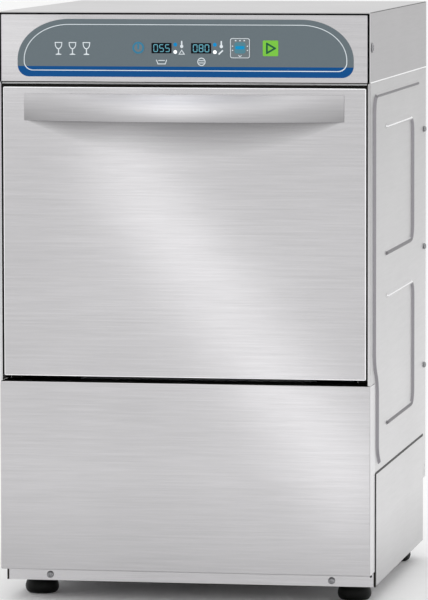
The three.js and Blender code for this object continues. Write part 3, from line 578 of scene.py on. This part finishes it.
def offset_line(points, distance, closed):
    """A line parallel to a line of points, with mitred corners."""
    count = len(points)
    shifted = []
    for place, point in enumerate(points):
        here = Vector(point)
        normals = []
        for first, second in ((place - 1, place), (place, place + 1)):
            if not closed and (first < 0 or second >= count):
                continue
            along = Vector(points[second % count]) - Vector(points[first % count])
            normals.append(Vector((-along.y, along.x)).normalized())
        middle = sum(normals, Vector((0, 0))).normalized()
        shifted.append(tuple(here + middle * distance / max(0.3, middle.dot(normals[0]))))
    return shifted


def stroke(points, width, closed=False):
    """The loops of a line drawn with a pen of the given width."""
    outer = offset_line(points, width / 2, closed)
    inner = offset_line(points, -width / 2, closed)
    return [outer, inner] if closed else [outer + inner[::-1]]


def softened(points, reach, steps=6):
    """An open line of points with its corners rounded."""
    line = [Vector(points[0])]
    for before, corner, after in zip(points, points[1:], points[2:]):
        before, corner, after = Vector(before), Vector(corner), Vector(after)
        reached = min(reach, (corner - before).length * 0.48, (after - corner).length * 0.48)
        start = corner + (before - corner).normalized() * reached
        end = corner + (after - corner).normalized() * reached
        for step in range(steps + 1):
            t = step / steps
            line.append(start * (1 - t) ** 2 + corner * 2 * t * (1 - t) + end * t ** 2)
    line.append(Vector(points[-1]))
    return line


# ------------------------------------------------------------------ cabinet
def screw_head(name, place, axis, radius, height, shank):
    """A pan-head screw with a cross recess, standing on its seat along the axis."""
    thread = 1.9
    rises = ((1, 0.35), (0.93, 0.62), (0.74, 0.86), (0.4, 0.98))
    dome = [(radius * share, height * rise) for share, rise in rises]
    profile = [(0, -shank), (thread, -shank), (thread, 0), (radius, 0), *dome, (0, height)]
    head = lathe(name, profile, (0, 0, 0), "z", 32)
    arm, slot = radius * 0.58, radius * 0.11
    first = block("cross", (-arm, arm), (-slot, slot), (height * 0.4, height + 1))
    second = block("cross", (-slot, slot), (-arm, arm), (height * 0.4, height + 1))
    head = carved(head, first, second)
    head.transform(Matrix.Translation(Vector(place) * MM) @ TURNS[axis])
    return head


def shade_faces(piece, material, chosen):
    """The faces that are chosen get a finish of their own."""
    piece.data.materials.append(material)
    index = len(piece.data.materials) - 1
    for face in piece.data.polygons:
        if chosen(face):
            face.material_index = index


def sideways(face):
    return abs(face.normal.x) > 0.98


def outward(side):
    """The axis that points out of the cabinet on one side."""
    return "x" if side > 0 else "-x"


def frame_posts_painted_shade():
    """Painted shade: the frame's posts are near black in front, where the slot under the door shows them."""
    posts = 150 * MM
    shade_faces(
        NODES["base_frame"], BRACKET_AND_SHADE_STEEL,
        lambda face: abs(face.normal.y) > 0.9 and face.center.z > posts,
    )


def cover():
    """The top cover with a strip along each side's lower edge painted pale as a highlight, and a plug in each
    side.
    """
    sheet = pan("cover", *COVER, 1.2, ("-y", "-z"), 1.8)
    piece = place_piece("cover", sheet, COVER_STEEL, "cabinet", ("top_cover",))
    # Painted shade: the cover's sides get the darker copy of its steel.
    shade_faces(piece, COVER_SIDE_SHADE_STEEL, sideways)
    # Painted shade: the bends between the top and the sides are near black.
    shade_faces(piece, FOLD_SHADE_STEEL, lambda face: abs(face.normal.x) > 0.25 and face.normal.z > 0.25)
    for name, side in SIDES.items():
        face, foot = side * COVER[0][1], COVER[2][0]
        # A thin strip along the lower edge, painted near white as a highlight.
        hem = block("hem", sorted((face - side, face + 0.2 * side)), (FRONT + 1, BACK), (foot, foot + 1.5))
        place_piece(f"cover_highlight_hem_{name}", hem, EDGE_HIGHLIGHT_STEEL, "cabinet")
        plug = lathe("plug", [
            (0, -1), (4.2, -1), (4.2, 0), (5.8, 0), (6.0, 0.6), (5.6, 1.6), (4.2, 1.9), (3.6, 1.2), (0, 1.1),
        ], (face, FRONT + 12, 670), outward(side), 40)
        place_piece(f"cover_plug_{name}", plug, SCREW_STEEL, "cabinet")


def side_panels():
    """The upper side sheets, with a hem at the front and raised stiffening beads."""
    ys, zs = PANEL_YS, PANEL_ZS
    outline = [
        (ys["front"], zs["panel"]), (ys["base"], zs["panel"]), (ys["base"], zs["seam"]),
        (ys["step"], zs["seam"]), (ys["step"], zs["step"]), (ys["back"], zs["step"]),
        (ys["back"], zs["top"]), (ys["front"], zs["top"]),
    ]
    back, step = ys["back"], zs["step"]
    marks = [circle(back - 9, step + 15, 1.4, 16), rounded(back - 12, step + 6, 2.2, 8, 1)]
    for name, side in SIDES.items():
        face = side * SIDE_FACE
        sheet = flat_shape("sheet", [outline, *marks], face - side, face, 0.0, "yz")
        depth = sorted((face - 3 * side, face))
        hem = block("hem", depth, (ys["front"], ys["front"] + 5), (zs["panel"], zs["top"]), 0.9)
        beads = [raised_bead(line, face, side) for line in BEADS]
        panel = joined("side_panel", [sheet, hem, *beads])
        node = f"side_panel_{name}"
        piece = place_piece(f"side_{name}", panel, SIDE_STEEL, "cabinet", (node,), 50)
        shade_beads(piece)
        # Black strips as painted shade in the joints.
        place_piece(f"seam_{name}", seam_shade_strips(face, side), BRACKET_AND_SHADE_STEEL, "cabinet")


def seam_shade_strips(face, side):
    """Painted shade: black strips in the joints round the lower side sheet, along its top and down beside the
    front panel.
    """
    depth = sorted((face - 0.8 * side, face + 0.25 * side))
    ys, zs = PANEL_YS, PANEL_ZS
    along = block("along", depth, (ys["base"], ys["step"] - 4), (zs["seam"] - 1.5, zs["seam"] + 1.5))
    outer = sorted((face - 0.8 * side, face + 1.2 * side))
    down = block("down", outer, (PANEL[1][1] + 0.1, PANEL[1][1] + 6), (SIDE_FOOT, zs["seam"]))
    return joined("seam_shade_strips", [along, down])


def shade_beads(piece):
    """Painted light on the beads: shaded front flanks, painted highlights on the short beads' upper runs, and
    painted shade on the tops of other level runs.
    """
    plain, dull, dark, bright = range(4)
    for finish in (BEAD_SHADE_STEEL, BEAD_DEEP_SHADE_STEEL, EDGE_HIGHLIGHT_STEEL):
        piece.data.materials.append(finish)
    for face in piece.data.polygons:
        x, y, z = (part / MM for part in face.center)
        if abs(x) < SIDE_FACE + 0.03:
            continue
        face.material_index = dull if face.normal.y < 0.12 else plain
        for line in BEADS:
            short = line is not BEADS[0]
            for (y0, z0), (y1, z1) in zip(line, line[1:]):
                beside = abs(z - z0) < 5 and min(y0, y1) - 5 < y < max(y0, y1) - 8
                if z0 != z1 or not beside:
                    continue
                lit = short and z0 == line[0][1]
                reach = 1.0 if lit else (2.3 if short else 1.5)
                if abs(z - z0) < reach:
                    face.material_index = bright if lit else dark
                elif abs(y - line[1][0]) > 14:
                    face.material_index = plain


def raised_bead(corners, face, side):
    """A rounded rib pressed outwards along a line of (y, z) corners, fading into the sheet on both sides."""
    width, height, bend, steps = 8.0, 3.0, 22.0, 10
    line = softened(corners, bend)
    last = len(line) - 1
    stations = [
        (point, (line[min(place + 1, last)] - line[max(place - 1, 0)]).normalized(), 1.0)
        for place, point in enumerate(line)
    ]
    # The ends are round: their sections shrink over half a width.
    ends = [(math.sin(turn) * width / 2, math.cos(turn)) for turn in map(math.radians, (80, 60, 40, 20))]
    (first, ahead, _), (final, onward, _) = stations[0], stations[-1]
    start = [(first - ahead * reach, ahead, size) for reach, size in ends]
    finish = [(final + onward * reach, onward, size) for reach, size in reversed(ends)]
    shape = bmesh.new()
    rows = []
    for point, along, size in start + stations + finish:
        across = Vector((-along.y, along.x))
        row = []
        for step in range(steps + 1):
            u = 2 * step / steps - 1
            level = height * size * (0.5 + 0.5 * math.cos(math.pi * u)) - 0.02
            spot = point + across * (u * size * width / 2)
            row.append(shape.verts.new((face + side * level, spot.x, spot.y)))
        rows.append(row)
    fill_between(shape, rows)
    bmesh.ops.recalc_face_normals(shape, faces=shape.faces)
    if shape.faces[len(shape.faces) // 2].normal.x * side < 0:
        bmesh.ops.reverse_faces(shape, faces=shape.faces)
    return to_mesh("bead", shape, False)


def place_screw(name, node, place, axis, radius, height, shank):
    mesh = screw_head(node, place, axis, radius, height, shank)
    place_piece(name, mesh, SCREW_STEEL, "cabinet", (node,), 30)


def screws():
    plinth = mm_box("base_frame")[1][0]
    for name, side in SIDES.items():
        node = f"front_screw_{name}"
        (x0, x1), _, (z0, z1) = mm_box(node)
        place = ((x0 + x1) / 2, plinth - 0.3, (z0 + z1) / 2)
        place_screw(f"plinth_screw_{name}", node, place, "-y", 4.2, 2.6, 7)
        for level in ("top", "middle", "bottom"):
            node = f"rear_screw_{level}_{name}"
            _, (y0, y1), (z0, z1) = mm_box(node)
            place = (side * (SIDE_FACE + 0.3), (y0 + y1) / 2, (z0 + z1) / 2)
            place_screw(f"side_screw_{level}_{name}", node, place, outward(side), 3.8, 3, 6)


def feet():
    """Levelling feet: a domed pad on a threaded stem, each riding its own body."""
    profile = [
        (0, 0), (14, 0), (16.6, 0.5), (18.6, 2.2), (19.9, 4.6), (20.5, 7.4), (20.3, 10.4), (19.5, 13.4),
        (18.0, 16.2), (15.8, 18.8), (14.2, 20.2), (13.2, 21), (5, 21), (5, 52), (4.4, 52.6), (0, 52.6),
    ]
    for depth in ("front", "rear"):
        for name in SIDES:
            node = f"foot_{depth}_{name}"
            (x0, x1), (y0, y1), _ = mm_box(node)
            mesh = lathe(node, profile, ((x0 + x1) / 2, (y0 + y1) / 2, 0), "z", 56)
            foot = f"foot_visual_{depth}_{name}"
            place_piece(foot, mesh, BLACK_PLASTIC, node, (node,), 32)


def lower_panel():
    """The lower front panel with its bent sides, and a black disc as painted shade for the small hole at the
    end of the plinth.
    """
    sheet = pan("lower_panel", *PANEL, 1.0, ("+y",), 1.5)
    piece = place_piece("lower_panel", sheet, PANEL_STEEL, "cabinet", ("lower_front_panel",))
    # Painted light: the lower panel's bent sides get a lighter copy of its steel.
    shade_faces(piece, RETURN_LIT_STEEL, sideways)
    # Painted shade: the panel's top face, seen in the slot under the door, is black.
    shade_faces(piece, BLACK_RUBBER_AND_SHADE, lambda face: face.normal.z > 0.95)
    _, (plinth, _), _ = mm_box("base_frame")
    # A black disc: painted shade for the hole.
    pit = lathe("pit", [(0, 0), (1.5, 0), (1.5, 0.12), (0, 0.12)], (220, plinth - 0.12, 35), "-y", 16)
    place_piece("plinth_hole", pit, BLACK_RUBBER_AND_SHADE, "cabinet")


# ------------------------------------------------------------------ control panel
def overlay_loop(inset):
    """The film's outline: elliptic shoulders, a straight top and rounded lower corners."""
    (left, right), _, (bottom, top) = OVERLAY
    middle, half = (left + right) / 2, (right - left) / 2
    shoulder, flat, corner = bottom + 20.5, 140.0, 14.0
    wide, tall = half - flat - inset, top - shoulder - inset * 0.8
    low = bottom + inset * 0.95
    radius = corner - inset * 0.45
    edge = half - inset
    return (
        arc(middle + flat, shoulder, (wide, tall), 0, 90, 26)
        + arc(middle - flat, shoulder, (wide, tall), 90, 180, 26)
        + arc(middle + radius - edge, low + radius, radius, 180, 270, 12)
        + arc(middle + edge - radius, low + radius, radius, 270, 360, 12)
    )


KEYS = {"power_button": 7.4, "cycle_button": 4.0, "start_button": 1.5}
KEY_SIZES = {name: mm_box(name) for name in KEYS}


def key_loop(name, margin):
    (x0, x1), _, (z0, z1) = KEY_SIZES[name]
    size = x1 - x0 + 2 * margin
    return rounded((x0 + x1) / 2, (z0 + z1) / 2, size, size, KEYS[name] + margin, 10)


def seven_segments(text, across, tall, wide, high, gap, thick):
    """Loops for the lit segments of a row of digits centred on a point."""
    lit = {"0": "abcdef", "5": "afgcd", "8": "abcdefg"}
    loops = []
    start = across - (len(text) * wide + (len(text) - 1) * gap) / 2
    for place, digit in enumerate(text):
        left = start + place * (wide + gap)
        right, low, top = left + wide, tall - high / 2, tall + high / 2
        half = thick / 2
        ends = {
            "a": ((left, top), (right, top)),
            "b": ((right, tall), (right, top)),
            "c": ((right, low), (right, tall)),
            "d": ((left, low), (right, low)),
            "e": ((left, low), (left, tall)),
            "f": ((left, tall), (left, top)),
            "g": ((left, tall), (right, tall)),
        }
        for segment in lit[digit]:
            (x0, z0), (x1, z1) = ends[segment]
            if z0 == z1:
                loops.append([
                    (x0 + 0.15, z0), (x0 + half, z0 + half), (x1 - half, z0 + half),
                    (x1 - 0.15, z0), (x1 - half, z0 - half), (x0 + half, z0 - half),
                ])
            else:
                loops.append([
                    (x0, z0 + 0.15), (x0 + half, z0 + half), (x0 + half, z1 - half),
                    (x0, z1 - 0.15), (x0 - half, z1 - half), (x0 - half, z0 + half),
                ])
    return loops


def thermometer(across, tall):
    bulb = arc(across, tall - 2.2, 2.0, 115, 425, 14)
    stem = arc(across, tall + 3.6, 0.85, 0, 180, 6)
    return [bulb + stem]


def control_panel():
    """The fascia, the film with holes for its keys, and the keys' caps."""
    (x0, x1), (y0, y1), (z0, z1) = FASCIA
    fascia = pan("fascia", (x0 - 0.4, x1), (y0, y1), (z0, z1 + 0.4), 1.0, ("+y",), 1.3)
    piece = place_piece("fascia", fascia, SHEET_STEEL, "cabinet", ("control_panel",))
    # Painted shade: the fascia's lower front bend is near black.
    shade_faces(piece, BRACKET_AND_SHADE_STEEL, lambda face: face.normal.y < -0.15 and face.normal.z < -0.3)
    front, back = OVERLAY[1]
    film = flat_shape("film", [overlay_loop(0), *(key_loop(name, 0.08) for name in KEYS)], front, back)
    place_piece("film", film, FILM, "cabinet", ("control_overlay",), 30)
    for name in KEYS:
        cap = flat_shape(name, [key_loop(name, 0)], front - 0.25, front + 0.15, 0.08)
        material = GREEN_INK if name == "start_button" else KEY_FILM
        place_piece(f"{name}_cap", cap, material, name, (name,), 30)


def printing():
    """Everything printed or lit on the film, as thin plates on its front.

    Marks are placed to the right of the film's middle and up from the floor, in millimetres.
    """
    front = OVERLAY[1][0]

    def ink(name, loops, material, body="cabinet", level=0.0):
        mesh = flat_shape(name, loops, front - level - 0.05, front - level)
        place_piece(name, mesh, material, body, (), 30)

    middle = (OVERLAY[0][0] + OVERLAY[0][1]) / 2
    level = 669.3
    cap = 0.25
    ink("border_line", [overlay_loop(7.6), overlay_loop(8.6)], PALE_INK)
    glasses = [loop for step in (-153, -136, -119) for loop in glass_mark(middle + step, 668.5)]
    ink("glass_mark", glasses, PALE_INK)

    x = middle - 56
    ink("power_ring", ring(x, level, 7.2, 2.3), BLUE_INK, "power_button", cap)
    ink("power_bar", [rectangle(x, level + 1.3, 2.2, 6.4)], BLUE_INK, "power_button", cap)

    for name, text, step in (("first", "055", -27.9), ("second", "080", 19.9)):
        x = middle + step
        ink(f"{name}_window", [rounded(x, 669, 24.4, 12.4, 0.8)], DISPLAY_BLACK)
        ink(f"{name}_digits", seven_segments(text, x, 669, 4.5, 8.2, 2.6, 0.95), DIGIT_LIGHT, "cabinet", 0.05)
        ink(f"{name}_blue_lamp", [circle(x + 16.6, 673.3, 2.3, 24)], LAMP_BLUE)
        ink(f"{name}_white_lamp", [circle(x + 16.6, 664.5, 2.2, 24)], LAMP_WHITE)
        ink(f"{name}_thermometer", thermometer(x + 24.4, 673.4), PALE_INK)

    x = middle - 3.5
    ink("fill_mark", stroke([(x - 3.2, 661.9), (x, 666.6), (x + 3.2, 661.9)], 0.9, True), PALE_INK)
    x = middle + 43.6
    ink("service_mark", stroke([(x - 2.6, 661.8), (x + 2.6, 666.6)], 1.7), PALE_INK)
    x = middle - 27.9
    basin = [(x - 6.3, 655.2), (x - 4.4, 650.2), (x + 4.4, 650.2), (x + 6.3, 655.2)]
    ink("basin_mark", stroke(basin, 1.0) + [rectangle(x, 654.3, 8.0, 0.9)], PALE_INK)
    x = middle + 20.3
    waves = [rectangle(x, height, 6.2, 0.9) for height in (654.2, 651.6)]
    ink("rinse_mark", ring(x, 652.9, 4.9, 1.0) + waves, PALE_INK)

    x = middle + 66.8
    frame_loops = [rounded(x, level, 23.6, 23.6, 2.4), rounded(x, level, 22.2, 22.2, 1.8)]
    ink("cycle_frame", frame_loops, PALE_INK, "cycle_button", cap)
    ink("cycle_screen", [rounded(x, level + 0.4, 13.4, 13.4, 2.6)], TEAL_INK, "cycle_button", cap)
    ink("cycle_bar", [rounded(x, level + 0.6, 11.0, 4.0, 1.4)], BLUE_LIT, "cycle_button", cap + 0.05)
    ticks = [rectangle(x + step, level + 9.0, 1.8, 1.3) for step in (-5.2, 0, 5.2)]
    ticks += [rectangle(x + side * 9.0, level + up, 1.4, 1.2) for side in (-1, 1) for up in (2.4, -2.6)]
    chevron = stroke([(x - 1.9, level - 8.4), (x, level - 10.0), (x + 1.9, level - 8.4)], 0.8)
    ink("cycle_marks", ticks + chevron, PALE_INK, "cycle_button", cap)

    x = middle + 103.5
    triangle = [(x - 4.2, level + 5.4), (x - 4.2, level - 5.4), (x + 5.2, level)]
    outline = [softened_loop(offset_line(triangle, -1.2, True), 1.8), offset_line(triangle, 0.95, True)]
    ink("start_mark", outline, DARK_GREEN_INK, "start_button", cap)


def softened_loop(points, reach):
    """A closed loop with its corners rounded."""
    count = len(points)
    line = []
    for place in range(count):
        trio = [points[place - 1], points[place], points[(place + 1) % count]]
        line += [tuple(point) for point in softened(trio, reach, 4)[1:-1]]
    return line


def glass_mark(across, tall):
    """A plain stemmed glass, the generic mark for a glass washer."""
    bowl = [
        (-4.6, 7.2), (-4.2, 2.6), (-2.6, -0.2), (-0.6, -1.4), (-0.6, -6.2), (-3.4, -7.2), (-3.4, -8.0),
        (3.4, -8.0), (3.4, -7.2), (0.6, -6.2), (0.6, -1.4), (2.6, -0.2), (4.2, 2.6), (4.6, 7.2),
    ]
    hollow = [(-3.5, 6.2), (-3.2, 2.9), (-1.9, 0.7), (0, -0.3), (1.9, 0.7), (3.2, 2.9), (3.5, 6.2)]
    return [[(across + x, tall + z) for x, z in loop] for loop in (bowl, hollow)]


# ------------------------------------------------------------------ door
def door():
    """The door's outer sheet with notches for its arms, its handle and the black seal round it."""
    skin = pan("skin", *SKIN, 1.0, ("+y",), 1.5)
    (x_low, x_high), (y_low, y_high), (z_low, z_high) = SKIN
    notches = []
    for side in SIDES.values():
        arm_slot = sorted((side * 210.8, side * 215.1))
        notches.append(block("notch", arm_slot, (y_low + 5, y_high + 1), (z_low - 1, z_low + 2)))
    piece = place_piece("skin", carved(skin, *notches), DOOR_STEEL, "door", ("door_skin",))
    # Painted highlight: the bends round the door's face get a pale, faintly glowing finish.
    shade_faces(piece, EDGE_GLINT, lambda face: -0.95 < face.normal.y < -0.15)
    place_piece("grip", grip(), GRIP_STEEL, "door", ("door_handle",), 60)

    # The seal rises past its CAD box, to fill the joint below the fascia.
    (x0, x1), (y0, y1), (z0, z1) = mm_box("door_edge_seal")
    top = z1 + 1.7
    opening = rectangle(0, (z0 - 1 + z_high) / 2, x_high - x_low + 0.2, z_high - z0 + 1.2)
    frame_loop = rectangle(0, (z0 + top) / 2, x1 - x0, top - z0)
    seal = flat_shape("seal", [frame_loop, opening], y0, y1)
    foot = block("foot", (x_low, x_high), (y0 - 1, y1 + 1), (z0 - 2, z0 + 2))
    place_piece("seal", carved(seal, foot), BLACK_RUBBER_AND_SHADE, "door", ("door_edge_seal",))


def grip():
    """The bowed lip: flush along its top edge and its ends, and furthest out at the middle below."""
    (x0, x1), (near, far), (low, top) = GRIP
    thickness, columns, rows = 1.5, 96, 16
    reach = far - thickness - near
    shape = bmesh.new()
    grid = []
    for column in range(columns + 1):
        along = 2 * column / columns - 1
        furthest = reach * (1 - along * along)
        line = []
        for row in range(rows + 1):
            drop = row / rows
            out = furthest * math.sin(drop * math.pi / 2)
            spot = (x0 + (x1 - x0) * column / columns, far - thickness - out, top - drop * (top - low))
            line.append(shape.verts.new(spot))
        grid.append(line)
    fill_between(shape, grid)
    if sum(face.normal.y for face in shape.faces) > 0:
        bmesh.ops.reverse_faces(shape, faces=shape.faces)
    mesh = to_mesh("grip", shape, False)
    thick = {"thickness": thickness * MM, "offset": -1.0, "use_even_offset": False}
    edge = {"width": 0.0003, "segments": 2, "limit_method": "ANGLE", "angle_limit": math.radians(60)}
    return evaluated(mesh, ("SOLIDIFY", thick), ("BEVEL", edge))


# ------------------------------------------------------------------ wash tank
def hole(radius, x, y, z):
    """A cutter for a round hole through a level sheet."""
    return lathe("hole", [(0, -5), (radius, -5), (radius, 5), (0, 5)], (x, y, z), "z", 32)


def tank():
    """The wash chamber and its sump, the frame around the door opening and the rail above the door."""
    (_, flange), (lip, back), (bottom, top) = TANK
    half, front = 204.7, -198.4
    floor, ceiling, plate_foot = 283.8, 615.2, 272
    sump_half, sump_y = 151.2, 4.9
    tub = pan("tub", (-half, half), (front, back), (floor, ceiling), 1.2, ("-y",), 12)
    tub = carved(
        tub,
        block("well", (-150, 150), (sump_y - 150, sump_y + 150), (floor - 5, floor + 5)),
        hole(13, 0, sump_y, ceiling),
    )
    sump_ys = (sump_y - sump_half, sump_y + sump_half)
    sump = pan("sump", (-sump_half, sump_half), sump_ys, (bottom, floor + 1.2), 1.2, ("+z",), 10)
    drain, suction, spindle = (14.5, 115, 120), (18.5, 40, 60), (13, 0, sump_y)
    sump = carved(sump, *(hole(*one, bottom) for one in (drain, suction, spindle)))
    slots = [rectangle(side * 216.4, 305, 3.8, 48) for side in SIDES.values()]
    window = rounded(0, 454, 407, 304, 9)
    outline = rectangle(0, (plate_foot + top) / 2, 2 * flange, top - plate_foot)
    frame_plate = flat_shape("plate", [outline, window, *slots], front, front + 1.2)
    rail = block("rail", (-flange, flange), (lip, front), (top - 1.2, top))
    edge = block("edge", (-flange, flange), (lip, lip + 2), (top - 1.5, top), 0.4)
    whole = joined("tank", [tub, sump, frame_plate, rail, edge])
    piece = place_piece("tank", whole, TANK_STEEL, "cabinet", ("wash_tank",), 32)
    # Painted highlight: the front edge of the rail above the door is near white.
    shade_faces(piece, EDGE_HIGHLIGHT_STEEL, lambda face: face.center.z > (top - 2) * MM and face.normal.y < -0.3)


def coil(name, place, low, high, radius, wire, turns, hook):
    """An extension spring: a close helix between two hooks, standing on Z."""
    x, y = place
    path = [Vector((x, y, low)), Vector((x, y, low + hook * 0.6))]
    per_turn = 14
    steps = turns * per_turn
    for step in range(steps + 1):
        turn = 2 * math.pi * step / per_turn
        rise = low + hook + (high - low - 2 * hook) * step / steps
        path.append(Vector((x + radius * math.cos(turn), y + radius * math.sin(turn), rise)))
    path += [Vector((x, y, high - hook * 0.6)), Vector((x, y, high))]
    shape = bmesh.new()
    sides = 7
    rows = []
    for index, point in enumerate(path):
        along = (path[min(index + 1, len(path) - 1)] - path[max(index - 1, 0)]).normalized()
        out = along.cross(Vector((0.13, 0.97, 0.2))).normalized()
        up = along.cross(out).normalized()
        ring_points = []
        for side in range(sides):
            turn = 2 * math.pi * side / sides
            ring_points.append(shape.verts.new(point + (out * math.cos(turn) + up * math.sin(turn)) * wire))
        rows.append(ring_points)
    fill_between(shape, rows, True)
    shape.faces.new(rows[0])
    shape.faces.new(rows[-1])
    return to_mesh(name, shape)


def springs():
    """The two counterbalance springs, from the base to the door's arms."""
    for name in SIDES:
        node = f"door_spring_{name}"
        (x0, x1), (y0, y1), (low, high) = mm_box(node)
        x, y = (x0 + x1) / 2, (y0 + y1) / 2
        mesh = coil(node, (x, y), low, high, 2.9, 0.75, 46, 16)
        mesh.materials.append(SCREW_STEEL)
        mesh.polygons.foreach_set("use_smooth", [True] * len(mesh.polygons))
        piece = bpy.data.objects.new(f"spring_{name}", mesh)
        SCENE.collection.objects.link(piece)
        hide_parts(node)
        bend = low + 0.8 * (high - low)
        x * MM
        y * MM
        bend * MM
        x * MM
        y * MM
        high * MM
        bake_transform(piece)


# ------------------------------------------------------------------ floor, light and camera
# Soft boxes: name, place, the point it faces, (width, height) and radiance. Metres.
LIGHTS = (
    ("overhead", (0.0, -0.6, 3.0), (0.0, 0.0, 0.4), (3.0, 2.4), 0.4),
    ("left_box", (-3.0, -0.1, 0.9), (0.0, 0.0, 0.4), (1.4, 1.8), 0.3),
    ("right_box", (3.0, -0.7, 0.9), (0.0, 0.0, 0.4), (1.4, 1.8), 0.3),
    ("corner_card", (-0.324, -0.736, 0.67), (-0.22, -0.236, 0.67), (0.13, 0.08), 0.6),
)
# The slanting strip: its top, its bottom, its width and its radiance.
STREAK = ((-0.205, -0.736, 0.545), (0.15, -0.736, 0.065), 0.088, 0.57)


def soft_light(name, place, aim, size, radiance, spin=0.0):
    lamp = bpy.data.lights.new(name, "AREA")
    lamp.shape = "RECTANGLE"
    lamp.size, lamp.size_y = size
    lamp.energy = radiance * math.pi * size[0] * size[1]
    holder = bpy.data.objects.new(name, lamp)
    turn = (aim - place).to_track_quat("-Z", "Y").to_matrix().to_4x4()
    holder.matrix_world = Matrix.Translation(place) @ turn @ Matrix.Rotation(spin, 4, "Z")
    holder.visible_camera = False
    SCENE.collection.objects.link(holder)


def streak():
    """The slanting strip that gives the door its diagonal highlight."""
    top, bottom, width, radiance = STREAK
    top, bottom = Vector(top), Vector(bottom)
    middle = (top + bottom) / 2
    along = top - bottom
    spin = math.atan2(-along.x, along.z)
    soft_light("streak", middle, middle + Vector((0, 1, 0)), (width, along.length), radiance, spin)


def studio():
    floor_mesh = bpy.data.meshes.new("floor")
    reach = 120.0
    corners = [(-reach, -reach, 0), (reach, -reach, 0), (reach, reach, 0), (-reach, reach, 0)]
    floor_mesh.from_pydata(corners, [], [(0, 1, 2, 3)])
    floor = bpy.data.objects.new("floor", floor_mesh)
    graph = Graph("floor_white")
    tone = graph.spread(graph.noise(graph.coordinates(), 40.0, 4.0, 0.6), 0.99, 1.01)
    graph.shader({"Base Color": graph.shaded((0.97, 0.97, 0.97), tone), "Roughness": 0.9})
    floor_mesh.materials.append(graph.material)
    SCENE.collection.objects.link(floor)

    for name, place, aim, size, radiance in LIGHTS:
        soft_light(name, Vector(place), Vector(aim), size, radiance)

    world = bpy.data.worlds.new("studio")
    world.use_nodes = True
    background = world.node_tree.nodes["Background"].inputs
    background["Color"].default_value = (1, 1, 1, 1)
    background["Strength"].default_value = 0.97
    SCENE.world = world


def camera():
    """A long lens, to the right of the machine and a little above it."""
    yaw, pitch, roll = math.radians(9.94), math.radians(4.88), math.radians(-0.10)
    ahead = Vector((-math.sin(yaw), math.cos(yaw), 0))
    right = Vector((math.cos(yaw), math.sin(yaw), 0))
    up = Vector((0, 0, 1))
    look = ahead * math.cos(pitch) - up * math.sin(pitch)
    above = ahead * math.sin(pitch) + up * math.cos(pitch)
    turned_right = right * math.cos(roll) + above * math.sin(roll)
    turned_up = above * math.cos(roll) - right * math.sin(roll)
    data = bpy.data.cameras.new("camera")
    data.sensor_width = 36.0
    data.lens = 306.9
    data.clip_end = 500.0
    view = bpy.data.objects.new("camera", data)
    turn = Matrix((turned_right, turned_up, -look)).transposed().to_4x4()
    place = Vector((1.086, FRONT * MM - 5.988, 0.888))
    view.matrix_world = Matrix.Translation(place) @ turn
    SCENE.collection.objects.link(view)
    SCENE.camera = view


cover()
side_panels()
screws()
feet()
lower_panel()
control_panel()
printing()
door()
tank()
springs()
frame_posts_painted_shade()
studio()
streak()
camera()
SCENE.view_settings.view_transform = "Standard"
